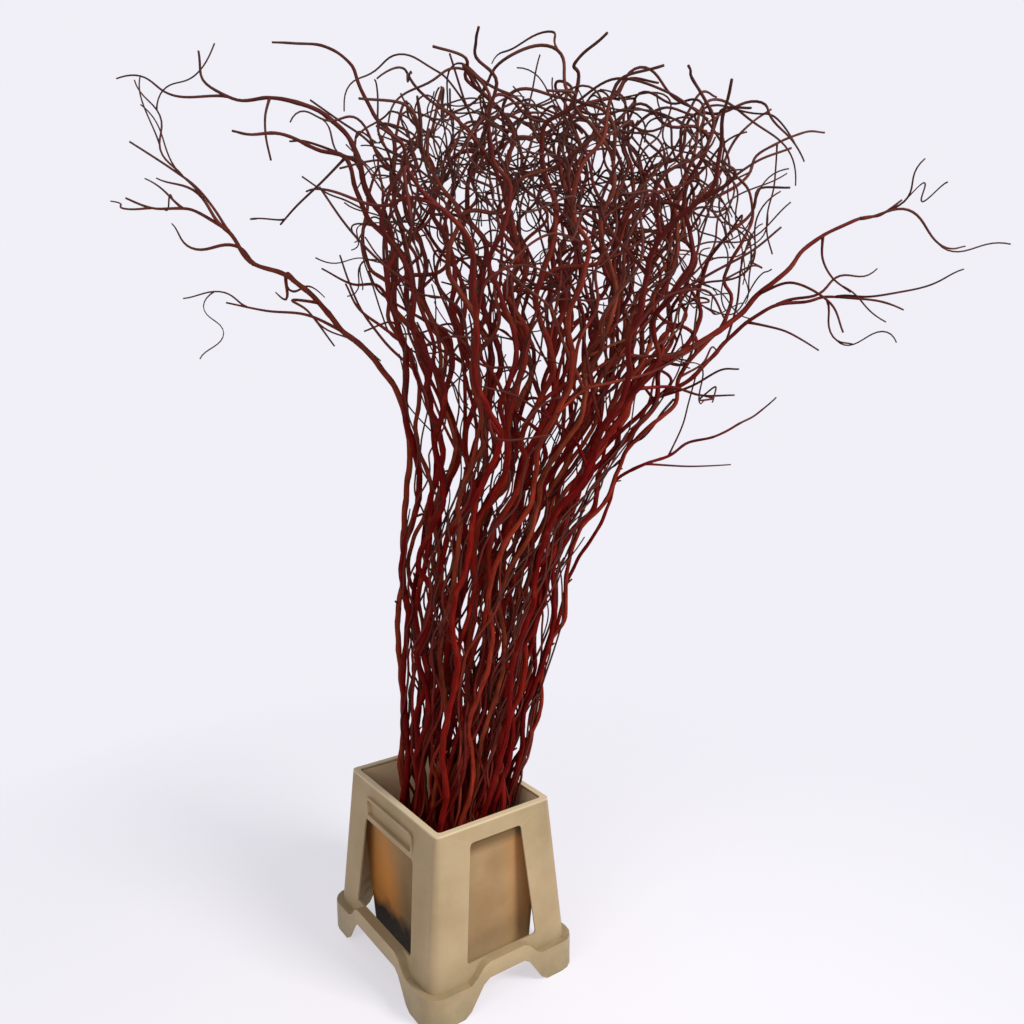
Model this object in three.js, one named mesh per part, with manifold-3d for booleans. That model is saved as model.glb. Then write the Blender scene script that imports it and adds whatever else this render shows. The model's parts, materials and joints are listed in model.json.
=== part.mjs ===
// Curly willow branches standing in a moulded plastic flower container.
//
// Units are millimetres, +Z is up. The origin is on the ground under the middle of the whole,
// X runs along the container's short side and Y along its long side.
// The container is one moulding: a bucket that narrows downwards hangs by its rim inside a
// skirt that widens downwards, with a window in each face and a ring with four feet below.
// Bucket and skirt are two solids here, with a fine seam under the lip, so that each keeps a
// simple shape.
// Each branch is one solid: a stem, its forks and its side twigs, fused where they grow
// from each other. Branches are laid out by a seeded rule and bent clear of each other.

import * as THREE from "three";
import { mergeVertices } from "three/addons/utils/BufferGeometryUtils.js";
import Module from "manifold-3d";

const wasm = await Module();
wasm.setup();

// ---------------------------------------------------------------- container dimensions

const HEIGHT = 357;
const WALL = 3.5;
const RIM = { x: 260, y: 350, corner: 10 };
const SKIRT_FOOT = { x: 317, y: 397, corner: 24 };
const LEDGE_Z = 62; // top of the ring at the corners, where the skirt ends
const SILL_Z = 95; // top of the ring under the windows
const ARCH_Z = 62; // underside of the ring between the feet
const LEDGE = 14.5; // how far the ring stands out from the skirt's foot
const LEDGE_THICK = 4;
const RISE = [52, 92]; // where the ledge climbs to the sill, from the end of a round corner
const FOOT = [38, 94]; // where a foot's underside climbs to the arch
const FOOT_STOPS = [0.5, 0.76]; // shares of that climb at which the ring has a section
const RING_SUNK = 0.6; // share of the skirt's wall that the ring's ledge reaches into it
const LIP_THICK = 4; // of the skirt's top, which reaches in over the bucket's wall
const SEAM = 0.3; // left between the bucket's wall and the lip that carries it

const BUCKET_RIM = { x: 243, y: 333, corner: 11 };
const BUCKET_FOOT = { x: 210, y: 298, corner: 22 };
const BUCKET_BOTTOM = 8; // edge of the bucket's foot ring, below its raised floor
const FLOOR_Z = 30;

// Windows, in the faces across X (long) and across Y (short), between posts whose widths
// are measured from the skirt's corners.
const LONG_WINDOW = { post: 82, top: 280 };
const SHORT_WINDOW = { post: 75, top: 324 };
const WINDOW_CORNER = 7;

// A hand grip over each long window: a recess in a raised frame.
const GRIP = { length: 180, height: 32, depth: 8, back: 2.5, frame: 7, proud: 2.5 };
const GRIP_Z = 307;

const CORNER_STEPS = 4;

// ---------------------------------------------------------------- branch dimensions

const STEMS = 50;
const BASE_GAP = 0.3; // branches stand this far above the bucket's floor
const BUTT_RADIUS = 6.8;
const BUTT_VARIED = [0.74, 1.08];
const TIP_RADIUS = 1.2;
const TAPER = 1.75; // a power above 1, so that a stem keeps its thickness low down
const SIDES = 3;
const OVERSIZE = 1.2; // corner radius of the faceted tubes over the radius of a round one

const SPACING = [76, 49]; // between a stem's bends, at its foot and at its tip
const SWAY = [9, 17]; // how far a bend stands off the stem's line, at foot and tip
const ARM_SWAY = 0.6; // share of it on a stem whose own path already bends
const TURN = [1.35, 1.9]; // radians from one bend to the next, at foot and tip
const BOB = { share: 0.5, rate: 1.7 }; // a bend's shift up or down: of its sway, and its rate
const VARIED = [0.6, 1.4]; // how far turns and sways differ from the rule
const STRAIGHT_FOOT = 0.1; // share of a stem in which the sway sets in
const RISING_STEP = 20; // between the points of the line that a stem follows
const LIMB_SPACING = 46;
const LIMBS_FROM = 980; // no side limbs grow below this height
const TRIES = 40;

const CROWN_TOP = 1785;
const CROWN_FILLED = 0.93; // share of the bunch's half width that the crown's stems take
// The crown's top is a dome, lower at its rim and at the side it leans to, and its stems end
// up to `random` below it.
const LOWER = { lean: 35, rim: 125, random: 150 };
const LIMB_REACH = 1.2; // share of the bunch's half width that the crown's limbs stay within
const ARM_SLOPE = 0.12; // fall towards the lean of the plane that an arm's limbs stay below
// A crown stem starts to bend over `below` its end and reaches `over` to any side, and
// `outwards` more at the rim.
const BEND_OVER = { below: 170, over: [60, 190], outwards: 60, peak: 20 };

// The bunch leans evenly up to one height, and further where the crown opens.
const LEANING = { from: 100, to: 1000, slope: 0.13, crown: 90, opens: [800, 1250] };
// Its half width grows from the bucket's floor to the rim, above that, and in the crown.
const SPREADING = { floor: 88, rim: 124, slope: 0.13, crown: 165, opens: [900, 1500] };

const CLEAR = 2.2; // least gap between the skins of two branches
const SLACK = 0.3; // what stems are moved apart beyond it
const SETTLED = 0.35; // and what they may still lack of both when the moving stops
const ROUNDS = 120;
const DRAG = 0.4; // share of a bend's move that its neighbours on the stem follow
const WALL_GAP = 2;
const WALL_REACH = 40; // height above the rim up to which stems are kept within it

const SEED = 20240611;
const stemSeed = (index) => SEED + 101 * index;
const limbSeed = (index, limb, attempt) => SEED + 7919 * index + 613 * limb + 31 * attempt;

// The bunch leans along LEAN. Places in it are given as [along LEAN, along ACROSS, up].
const LEAN = new THREE.Vector3(0.858, -0.513, 0).normalize();
const ACROSS = new THREE.Vector3(0.513, 0.858, 0).normalize();
const UP = new THREE.Vector3(0, 0, 1);

// Stems that reach out of the crown: where each leaves the bunch and the bends it takes to
// its tip, with the bends of its own main forks.
const ARMS = [
  {
    path: [[-69, 30, 1079], [-86, 30, 1175], [-178, 35, 1261], [-240, 40, 1344],
      [-327, 40, 1384], [-374, 35, 1443], [-435, 30, 1478], [-560, 30, 1502]],
    forks: [[[-374, 35, 1443], [-424, 10, 1514], [-466, 0, 1548], [-545, 10, 1600]]],
  },
  {
    path: [[-65, -40, 1139], [-71, -40, 1266], [-85, -40, 1391], [-109, -40, 1495],
      [-159, -40, 1596], [-200, -45, 1645], [-286, -50, 1664], [-337, -45, 1660],
      [-379, -40, 1683], [-405, -40, 1735]],
    forks: [[[-305, -50, 1664], [-292, -70, 1611], [-283, -75, 1552]]],
  },
  {
    path: [[-29, 60, 1135], [-54, 60, 1328], [-70, 60, 1478], [-85, 55, 1605],
      [-120, 55, 1693], [-155, 60, 1753], [-199, 60, 1785], [-300, 60, 1783]],
    forks: [],
  },
  {
    path: [[212, -150, 925], [283, -150, 1068], [354, -150, 1165], [460, -150, 1243],
      [540, -150, 1295], [618, -150, 1372], [688, -145, 1428], [825, -150, 1480]],
    forks: [[[688, -145, 1428], [700, -110, 1370], [755, -100, 1330]]],
  },
  {
    path: [[234, -60, 910], [319, -60, 1061], [413, -60, 1135], [489, -60, 1200],
      [573, -60, 1273], [677, -55, 1319], [773, -60, 1323], [883, -60, 1303]],
    forks: [[[573, -60, 1273], [640, -90, 1260], [700, -100, 1225]]],
  },
  {
    path: [[239, 40, 726], [300, 40, 850], [360, 40, 972], [421, 40, 1008],
      [503, 45, 1041], [595, 40, 1081], [690, 40, 1132]],
    forks: [[[421, 40, 1008], [500, 20, 1000], [580, 15, 1003]]],
  },
  {
    path: [[329, 100, 1131], [409, 100, 1332], [507, 100, 1508], [588, 105, 1548],
      [668, 100, 1625], [728, 100, 1654], [785, 100, 1667]],
    forks: [[[668, 100, 1625], [690, 130, 1560], [680, 140, 1490], [700, 150, 1430]]],
  },
  {
    path: [[290, 0, 1135], [386, 0, 1324], [479, 0, 1472], [553, 0, 1599], [620, 0, 1675]],
    forks: [],
  },
  {
    path: [[240, 250, 1100], [260, 340, 1220], [250, 420, 1330], [310, 510, 1430],
      [330, 640, 1500]],
    forks: [[[250, 420, 1330], [180, 490, 1420], [170, 560, 1510]]],
  },
  {
    path: [[80, 235, 1120], [40, 320, 1260], [50, 390, 1390], [-20, 470, 1500],
      [-60, 590, 1560]],
    forks: [],
  },
  {
    path: [[270, -245, 1080], [300, -330, 1210], [290, -410, 1320], [350, -500, 1420],
      [360, -610, 1530]],
    forks: [[[290, -410, 1320], [220, -480, 1400], [230, -560, 1450]]],
  },
  {
    path: [[90, -240, 1090], [50, -320, 1230], [60, -400, 1340], [-20, -480, 1430],
      [-70, -590, 1480]],
    forks: [],
  },
];

// Limbs that grow at random. `open` is the angle off the parent and `curl` the turn from
// one bend to the next; `thick` is a share of the parent's radius.
const FORK = { steps: 5, length: 58, open: 0.4, curl: 0.5, thick: 0.72, rise: 0.16 };
const TWIG = { steps: 3, length: 66, open: 0.75, curl: 0.85, thick: 0.6, rise: 0.04 };
// The share of the stem at which each grows, give or take, and its kind.
const LIMBS = [[0.6, FORK], [0.74, TWIG], [0.88, TWIG]];
const LIMB_SHIFT = 0.12;
const BARE_BENDS = { arm: 5, crown: 2 }; // at a stem's end, where no limb grows
const OPEN_VARIED = [0.7, 1.3];
const LENGTH_VARIED = [0.8, 1.2];
const CURL_VARIED = [-0.4, 1.6];
const ROLL = [-1.4, 1.4]; // radians that the plane of a limb's curl turns at a bend

// ---------------------------------------------------------------- small helpers

const clamp = (value, low, high) => Math.min(Math.max(value, low), high);
const mix = (a, b, share) => a + (b - a) * share;

function smooth(low, high, value) {
  const t = clamp((value - low) / (high - low), 0, 1);
  return t * t * (3 - 2 * t);
}

// A repeatable stream of numbers from 0 to 1 (mulberry32).
function seeded(seed) {
  let state = seed >>> 0;
  return () => {
    state = (state + 0x6d2b79f5) >>> 0;
    let t = Math.imul(state ^ (state >>> 15), state | 1);
    t ^= t + Math.imul(t ^ (t >>> 7), t | 61);
    return ((t ^ (t >>> 14)) >>> 0) / 4294967296;
  };
}

// A closed geometry as a manifold-3d solid.
function solidOf(geometry) {
  geometry.deleteAttribute("normal");
  geometry.deleteAttribute("uv");
  const merged = mergeVertices(geometry, 1e-4);
  return new wasm.Manifold(
    new wasm.Mesh({
      numProp: 3,
      vertProperties: new Float32Array(merged.attributes.position.array),
      triVerts: new Uint32Array(merged.index.array),
    }),
  );
}

function geometryOf(solid) {
  const mesh = solid.getMesh();
  const geometry = new THREE.BufferGeometry();
  geometry.setAttribute("position", new THREE.BufferAttribute(mesh.vertProperties, 3));
  geometry.setIndex(new THREE.BufferAttribute(mesh.triVerts, 1));
  geometry.computeVertexNormals();
  return geometry;
}

// A closed geometry through rings of points, all with the same count. A looped row of
// rings has no ends, and an open row gets a flat cap at each end.
function skin(rings, looped = false) {
  const count = rings[0].length;
  const index = [];
  for (let r = 0; r < (looped ? rings.length : rings.length - 1); r++) {
    const low = r * count;
    const high = ((r + 1) % rings.length) * count;
    for (let i = 0; i < count; i++) {
      const next = (i + 1) % count;
      index.push(low + i, low + next, high + next, low + i, high + next, high + i);
    }
  }
  if (!looped) {
    const top = (rings.length - 1) * count;
    for (let i = 1; i < count - 1; i++) {
      index.push(0, i + 1, i, top, top + i, top + i + 1);
    }
  }
  const positions = rings.flat().flatMap((p) => [p.x, p.y, p.z]);
  const geometry = new THREE.BufferGeometry();
  geometry.setAttribute("position", new THREE.Float32BufferAttribute(positions, 3));
  geometry.setIndex(index);
  return geometry;
}

// ---------------------------------------------------------------- container

const inset = ({ x, y, corner }, by) => ({ x: x - 2 * by, y: y - 2 * by, corner: corner - by });

const between = (low, high, share) => ({
  x: mix(low.x, high.x, share),
  y: mix(low.y, high.y, share),
  corner: mix(low.corner, high.corner, share),
});

const skirtAt = (z) => between(SKIRT_FOOT, RIM, (z - LEDGE_Z) / (HEIGHT - LEDGE_Z));

const bucketAt = (z) =>
  between(BUCKET_FOOT, BUCKET_RIM, (z - BUCKET_BOTTOM) / (HEIGHT - BUCKET_BOTTOM));

// Points round a rectangle with rounded corners, anticlockwise, at one height.
function outline({ x, y, corner }, z) {
  const points = [];
  for (const [quarter, cx, cy] of [[0, 1, 1], [1, -1, 1], [2, -1, -1], [3, 1, -1]]) {
    for (let i = 0; i <= CORNER_STEPS; i++) {
      const angle = ((quarter + i / CORNER_STEPS) * Math.PI) / 2;
      points.push(
        new THREE.Vector3(
          cx * (x / 2 - corner) + corner * Math.cos(angle),
          cy * (y / 2 - corner) + corner * Math.sin(angle),
          z,
        ),
      );
    }
  }
  return points;
}

// What a tapering wall encloses between some heights, in from its outer face by an inset.
const block = (sizeAt, by, heights) =>
  solidOf(skin(heights.map((z) => outline(inset(sizeAt(z), by), z))));

// A four-sided shape with rounded corners, from its half widths at two heights.
function panel([lowHalf, lowZ], [highHalf, highZ], radius) {
  const corners = [[-lowHalf, lowZ], [lowHalf, lowZ], [highHalf, highZ], [-highHalf, highZ]];
  const points = corners.map(([x, z]) => new THREE.Vector2(x, z));
  const shape = new THREE.Shape();
  points.forEach((corner, i) => {
    const toBefore = points[(i + 3) % 4].clone().sub(corner).setLength(radius);
    const toAfter = points[(i + 1) % 4].clone().sub(corner).setLength(radius);
    const start = corner.clone().add(toBefore);
    const end = corner.clone().add(toAfter);
    if (i === 0) shape.moveTo(start.x, start.y);
    else shape.lineTo(start.x, start.y);
    shape.quadraticCurveTo(corner.x, corner.y, end.x, end.y);
  });
  shape.closePath();
  return shape;
}

// A shape drawn upright across +X, pushed out from one distance to another and turned to
// face another way by quarter turns.
function facing(shape, from, to, turn) {
  const geometry = new THREE.ExtrudeGeometry(shape, {
    depth: to - from,
    bevelEnabled: false,
    curveSegments: 2,
  });
  const stand = new THREE.Matrix4().makeBasis(
    new THREE.Vector3(0, 1, 0),
    new THREE.Vector3(0, 0, 1),
    new THREE.Vector3(1, 0, 0),
  );
  const place = new THREE.Matrix4()
    .makeRotationZ((turn * Math.PI) / 2)
    .multiply(stand.setPosition(from, 0, 0));
  return solidOf(geometry.applyMatrix4(place));
}

// The opening in one face of the skirt.
function window(turn) {
  const long = turn % 2 === 0;
  const { post, top } = long ? LONG_WINDOW : SHORT_WINDOW;
  const half = (z) => (long ? skirtAt(z).y : skirtAt(z).x) / 2 - post;
  const face = (z) => (long ? skirtAt(z).x : skirtAt(z).y) / 2;
  const shape = panel([half(SILL_Z), SILL_Z], [half(top), top], WINDOW_CORNER);
  return facing(shape, face(top) - 2 * WALL, face(SILL_Z) + WALL, turn);
}

// The hand grip over a long window, added to the skirt: a raised frame with a tray sunk in
// it, hollowed out to the recess.
function addGrip(shell, turn) {
  const face = skirtAt(GRIP_Z).x / 2;
  const oblong = (grow) => {
    const half = GRIP.length / 2 + grow;
    const tall = GRIP.height / 2 + grow;
    return panel([half, GRIP_Z - tall], [half, GRIP_Z + tall], WINDOW_CORNER + grow);
  };
  const frame = facing(oblong(GRIP.frame), face - WALL, face + GRIP.proud, turn);
  const tray = facing(oblong(GRIP.back), face - GRIP.depth, face, turn);
  const recess = facing(oblong(0), face - GRIP.depth + GRIP.back, face + GRIP.depth, turn);
  return shell.add(frame).add(tray).subtract(recess);
}

// The ring at the foot: an inverted L in section, swept round, with its top rising to the
// sills and its underside to the arches.
function ring() {
  const { x, y, corner } = inset(SKIRT_FOOT, -LEDGE);
  const taper = (SKIRT_FOOT.x - RIM.x) / 2 / (HEIGHT - LEDGE_Z);
  const section = (point, outwards, along) => {
    const low = ARCH_Z * smooth(...FOOT, along);
    const high = mix(LEDGE_Z, SILL_Z, smooth(...RISE, along));
    const reach = LEDGE + RING_SUNK * WALL + taper * (high - LEDGE_Z);
    const at = (depth, z) => point.clone().addScaledVector(outwards, -depth).setZ(z);
    return [
      at(0, low),
      at(WALL, low),
      at(WALL, high - LEDGE_THICK),
      at(reach, high - LEDGE_THICK),
      at(reach, high),
      at(0, high),
    ];
  };
  const climbing = FOOT_STOPS.map((share) => mix(...FOOT, share));
  const stops = [FOOT[0], RISE[0], ...climbing, FOOT[1]];
  const rings = [];
  for (const [quarter, cx, cy] of [[0, 1, 1], [1, -1, 1], [2, -1, -1], [3, 1, -1]]) {
    const centre = new THREE.Vector3(cx * (x / 2 - corner), cy * (y / 2 - corner), 0);
    const towards = (share) => {
      const angle = ((quarter + share) * Math.PI) / 2;
      return new THREE.Vector3(Math.cos(angle), Math.sin(angle), 0);
    };
    for (let i = 0; i <= CORNER_STEPS; i++) {
      const outwards = towards(i / CORNER_STEPS);
      rings.push(section(centre.clone().addScaledVector(outwards, corner), outwards, 0));
    }
    // The straight run to the next corner, from one foot to the other.
    const outwards = towards(1);
    const start = centre.clone().addScaledVector(outwards, corner);
    const length = (quarter % 2 ? y : x) - 2 * corner;
    for (const along of [...stops, ...stops.map((stop) => length - stop).reverse()]) {
      const point = start.clone().addScaledVector(towards(2), along);
      rings.push(section(point, outwards, Math.min(along, length - along)));
    }
  }
  return solidOf(skin(rings, true));
}

// The windowed skirt with its lip, grips and foot ring.
function skirt() {
  const inside = [LEDGE_Z - 3 * LEDGE_THICK, HEIGHT - LIP_THICK];
  let shell = block(skirtAt, 0, [LEDGE_Z - LEDGE_THICK, HEIGHT]).subtract(
    block(skirtAt, WALL, inside),
  );
  for (const turn of [0, 1, 2, 3]) shell = shell.subtract(window(turn));
  for (const turn of [0, 2]) shell = addGrip(shell, turn);
  const mouth = block(bucketAt, WALL, [HEIGHT - 2 * LIP_THICK, HEIGHT + WALL]);
  return shell.add(ring()).subtract(mouth);
}

function bucket() {
  const top = HEIGHT - LIP_THICK - SEAM;
  return block(bucketAt, 0, [BUCKET_BOTTOM, top])
    .subtract(block(bucketAt, WALL, [BUCKET_BOTTOM - WALL, FLOOR_Z - WALL]))
    .subtract(block(bucketAt, WALL, [FLOOR_Z, HEIGHT]));
}

// ---------------------------------------------------------------- branches: layout

const at = ([along, across, z]) =>
  LEAN.clone().multiplyScalar(along).addScaledVector(ACROSS, across).setZ(z);

// How far the middle of the bunch leans out at a height, and its half width there.
function leanAt(z) {
  const { from, to, slope, crown, opens } = LEANING;
  return Math.max(slope * (Math.min(z, to) - from), 0) + crown * smooth(...opens, z);
}

function spreadAt(z) {
  const { floor, rim, slope, crown, opens } = SPREADING;
  const inBucket = mix(floor, rim, clamp((z - FLOOR_Z) / (HEIGHT - FLOOR_Z), 0, 1));
  return inBucket + slope * Math.max(z - HEIGHT, 0) + crown * smooth(...opens, z);
}

// A lane is a stem's own place in the bunch, in a unit disc.
const placeOf = ([a, b], z) => at([leanAt(z) + a * spreadAt(z), b * spreadAt(z), z]);

const laneOf = ([along, across, z]) => [(along - leanAt(z)) / spreadAt(z), across / spreadAt(z)];

const domeOver = ([a, b]) => CROWN_TOP - LOWER.lean * (a + 1) - LOWER.rim * (a * a + b * b);

function rising(lane, top) {
  const points = [];
  for (let z = FLOOR_Z + BASE_GAP; z < top; z += RISING_STEP) points.push(placeOf(lane, z));
  return points;
}

// Points at even or slowly changing distances along a line.
function stations(line, [first, last]) {
  const lengths = [0];
  for (let i = 1; i < line.length; i++) {
    lengths.push(lengths[i - 1] + line[i].distanceTo(line[i - 1]));
  }
  const total = lengths[lengths.length - 1];
  const marks = [0];
  while (marks[marks.length - 1] < total) {
    const mark = marks[marks.length - 1];
    marks.push(mark + mix(first, last, mark / total));
  }
  const scale = total / marks[marks.length - 1];
  let i = 1;
  return marks.map((mark) => {
    const length = mark * scale;
    while (i < lengths.length - 1 && lengths[i] < length) i++;
    const share = (length - lengths[i - 1]) / (lengths[i] - lengths[i - 1]);
    return line[i - 1].clone().lerp(line[i], clamp(share, 0, 1));
  });
}

// A stem along its line, pushed to and fro in a direction that turns from bend to bend, as
// a corkscrew does.
function stemAlong(line, draw, sway) {
  const points = stations(line, SPACING);
  const last = points.length - 1;
  const butt = BUTT_RADIUS * mix(...BUTT_VARIED, draw());
  let turn = 2 * Math.PI * draw();
  points.forEach((point, k) => {
    const share = k / last;
    turn += mix(...TURN, share) * mix(...VARIED, draw());
    const settled = smooth(0, STRAIGHT_FOOT, share);
    const push = sway * mix(...SWAY, share) * settled * mix(...VARIED, draw());
    point.addScaledVector(LEAN, push * Math.cos(turn));
    point.addScaledVector(ACROSS, push * Math.sin(turn));
    if (k > 0) point.z += BOB.share * push * Math.sin(BOB.rate * turn);
  });
  const radii = points.map((_, k) => mix(butt, TIP_RADIUS, (k / last) ** TAPER));
  return { points, radii, parent: null };
}

// A stem that stays in the crown: it rises in its lane and bends over near its tip.
function crownStem(index, lane) {
  const draw = seeded(stemSeed(index));
  const [a, b] = lane;
  const top = domeOver(lane) - LOWER.random * draw();
  const line = rising(lane, top - BEND_OVER.below);
  const turn = 2 * Math.PI * draw();
  const over = mix(...BEND_OVER.over, draw());
  const along = a * BEND_OVER.outwards + over * Math.cos(turn);
  const across = b * BEND_OVER.outwards + over * Math.sin(turn);
  const tip = placeOf(lane, top).add(at([along, across, 0]));
  const bend = placeOf(lane, top + BEND_OVER.peak);
  const curve = new THREE.QuadraticBezierCurve3(line[line.length - 1], bend, tip);
  return stemAlong([...line, ...curve.getPoints(10).slice(1)], draw, 1);
}

// A stem that reaches out: it rises in the lane that brings it to where its path starts.
function armStem(index, { path }) {
  const draw = seeded(stemSeed(index));
  const line = rising(laneOf(path[0]), path[0][2] - RISING_STEP / 2);
  const curve = new THREE.CatmullRomCurve3([line[line.length - 1], ...path.map(at)]);
  return stemAlong([...line, ...curve.getPoints(60).slice(1)], draw, ARM_SWAY);
}

// Lanes for the crown's stems, in a sunflower's spiral.
function crownLanes(count) {
  return Array.from({ length: count }, (_, i) => {
    const r = CROWN_FILLED * Math.sqrt((i + 0.5) / count);
    const angle = i * Math.PI * (3 - Math.sqrt(5));
    return [r * Math.cos(angle), r * Math.sin(angle)];
  });
}

// ---------------------------------------------------------------- branches: clearance

// The shares along two straight pieces at which they come closest.
function closest(one, two) {
  const d1 = one.q.clone().sub(one.p);
  const d2 = two.q.clone().sub(two.p);
  const r = one.p.clone().sub(two.p);
  const a = d1.dot(d1);
  const b = d1.dot(d2);
  const c = d1.dot(r);
  const e = d2.dot(d2);
  const f = d2.dot(r);
  const denominator = a * e - b * b;
  let s = denominator > 1e-9 ? clamp((b * f - c * e) / denominator, 0, 1) : 0;
  let t = (b * s + f) / e;
  if (t < 0) {
    t = 0;
    s = clamp(-c / a, 0, 1);
  } else if (t > 1) {
    t = 1;
    s = clamp((b - c) / a, 0, 1);
  }
  return [s, t];
}

function piecesOf(limb, owner) {
  return limb.points.slice(1).map((q, k) => {
    const p = limb.points[k];
    const radius = OVERSIZE * Math.max(limb.radii[k], limb.radii[k + 1]);
    const middle = p.clone().add(q).multiplyScalar(0.5);
    return { p, q, k, owner, limb, radius, middle, reach: p.distanceTo(q) / 2 + radius };
  });
}

// The way from one piece to another where they come closest, or null if they are far apart.
function nearest(one, two) {
  const near = one.reach + two.reach + CLEAR + SLACK;
  if (one.middle.distanceToSquared(two.middle) > near * near) return null;
  const [s, t] = closest(one, two);
  const apart = one.p.clone().lerp(one.q, s).sub(two.p.clone().lerp(two.q, t));
  return { s, t, apart };
}

// Pushes stems apart sideways until no two are closer than CLEAR, and keeps them inside
// the bucket's walls.
function relax(stems) {
  for (let round = 0; round < ROUNDS; round++) {
    const pieces = stems.flatMap((limb, i) => piecesOf(limb, i));
    const pushes = new Map(stems.flatMap(({ points }) => points.map((p) => [p, at([0, 0, 0])])));
    let worst = 0;
    pieces.forEach((one, i) => {
      for (let j = i + 1; j < pieces.length; j++) {
        const two = pieces[j];
        const found = one.owner === two.owner ? null : nearest(one, two);
        if (!found) continue;
        const { s, t, apart } = found;
        const missing = one.radius + two.radius + CLEAR + SLACK - apart.length();
        if (missing <= 0) continue;
        worst = Math.max(worst, missing);
        apart.setZ(0).setLength(missing / 2);
        pushes.get(one.p).addScaledVector(apart, 1 - s);
        pushes.get(one.q).addScaledVector(apart, s);
        pushes.get(two.p).addScaledVector(apart, t - 1);
        pushes.get(two.q).addScaledVector(apart, -t);
      }
    });
    for (const { points, radii } of stems) {
      const moves = points.map((point) => pushes.get(point));
      points.forEach((point, k) => {
        point.add(moves[k]);
        if (k > 0) point.addScaledVector(moves[k - 1], DRAG);
        if (k < points.length - 1) point.addScaledVector(moves[k + 1], DRAG);
        if (point.z > HEIGHT + WALL_REACH) return;
        const size = inset(bucketAt(Math.min(point.z, HEIGHT)), WALL);
        const room = radii[k] * OVERSIZE + WALL_GAP;
        point.x = clamp(point.x, room - size.x / 2, size.x / 2 - room);
        point.y = clamp(point.y, room - size.y / 2, size.y / 2 - room);
      });
    }
    if (worst < SETTLED) break;
  }
}

// True if a limb is clear of every piece, but for its own root inside its parent.
function isClear(limb, pieces) {
  return piecesOf(limb, -1).every((one) =>
    pieces.every((two) => {
      if (one.k === 0 && two.limb === limb.parent) return true;
      const found = nearest(one, two);
      return !found || found.apart.length() >= one.radius + two.radius + CLEAR;
    }),
  );
}

// ---------------------------------------------------------------- branches: limbs

// A limb along given places, from the nearest bend of its parent.
function limbAlong(parent, path) {
  const start = at(path[0]);
  const station = parent.points.reduce(
    (best, p, k) => (p.distanceTo(start) < parent.points[best].distanceTo(start) ? k : best),
    0,
  );
  const curve = new THREE.CatmullRomCurve3([parent.points[station], ...path.slice(1).map(at)]);
  const points = stations(curve.getPoints(30), [LIMB_SPACING, LIMB_SPACING]);
  const thick = parent.radii[station] * FORK.thick;
  const last = points.length - 1;
  const radii = points.map((_, k) => mix(thick, TIP_RADIUS, k / last));
  return { points, radii, parent };
}

// A limb that grows from a bend of its parent and curls as it goes.
function sprout(parent, station, draw, kind) {
  const root = parent.points[station];
  const heading = parent.points[station + 1].clone().sub(root).normalize();
  const axis = heading.clone().cross(UP).normalize();
  axis.applyAxisAngle(heading, 2 * Math.PI * draw());
  heading.applyAxisAngle(axis, kind.open * mix(...OPEN_VARIED, draw()));
  const thick = parent.radii[station] * kind.thick;
  const points = [root.clone()];
  const radii = [thick];
  for (let k = 1; k <= kind.steps; k++) {
    const length = kind.length * mix(...LENGTH_VARIED, draw());
    points.push(points[k - 1].clone().addScaledVector(heading, length));
    radii.push(mix(thick, TIP_RADIUS, k / kind.steps));
    axis.applyAxisAngle(heading, mix(...ROLL, draw()));
    axis.addScaledVector(heading, -axis.dot(heading)).normalize();
    heading.applyAxisAngle(axis, kind.curl * mix(...CURL_VARIED, draw()));
    heading.addScaledVector(UP, kind.rise).normalize();
  }
  return { points, radii, parent };
}

// True for a place over the crown or well outside it. An arm's limbs are outside it, and
// only stay below a plane through its highest point.
function isAstray(point, isArm) {
  const along = point.dot(LEAN);
  if (isArm) return point.z > CROWN_TOP - ARM_SLOPE * Math.max(along, 0);
  const lane = laneOf([along, point.dot(ACROSS), point.z]);
  return Math.hypot(...lane) > LIMB_REACH || point.z > domeOver(lane);
}

// Grows a branch's limbs, each at the first try that is clear of everything. An arm has
// forks of its own, and a bare end.
function addLimbs(branch, index, pieces) {
  const main = branch[0];
  const isArm = index < ARMS.length;
  const last = main.points.length - (isArm ? BARE_BENDS.arm : BARE_BENDS.crown);
  LIMBS.forEach(([share, kind], w) => {
    if (isArm && kind === FORK) return;
    for (let attempt = 0; attempt < TRIES; attempt++) {
      const draw = seeded(limbSeed(index, w, attempt));
      const place = share + LIMB_SHIFT * (draw() - 0.5);
      const station = Math.min(Math.round(last * place), last);
      if (main.points[station].z < LIMBS_FROM) continue;
      const limb = sprout(main, station, draw, kind);
      if (limb.points.slice(1).some((point) => isAstray(point, isArm))) continue;
      if (!isClear(limb, pieces)) continue;
      branch.push(limb);
      pieces.push(...piecesOf(limb, index));
      break;
    }
  });
}

// All branches, each a list of limbs with its stem first.
function growBranches() {
  const crown = crownLanes(STEMS - ARMS.length);
  const stems = [
    ...ARMS.map((arm, i) => armStem(i, arm)),
    ...crown.map((lane, i) => crownStem(ARMS.length + i, lane)),
  ];
  relax(stems);
  const branches = stems.map((stem) => [stem]);
  ARMS.forEach(({ forks }, i) => {
    for (const path of forks) branches[i].push(limbAlong(stems[i], path));
  });
  const pieces = branches.flatMap((branch, i) => branch.flatMap((limb) => piecesOf(limb, i)));
  branches.forEach((branch, i) => addLimbs(branch, i, pieces));
  return branches;
}

// ---------------------------------------------------------------- branches: solids

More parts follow.
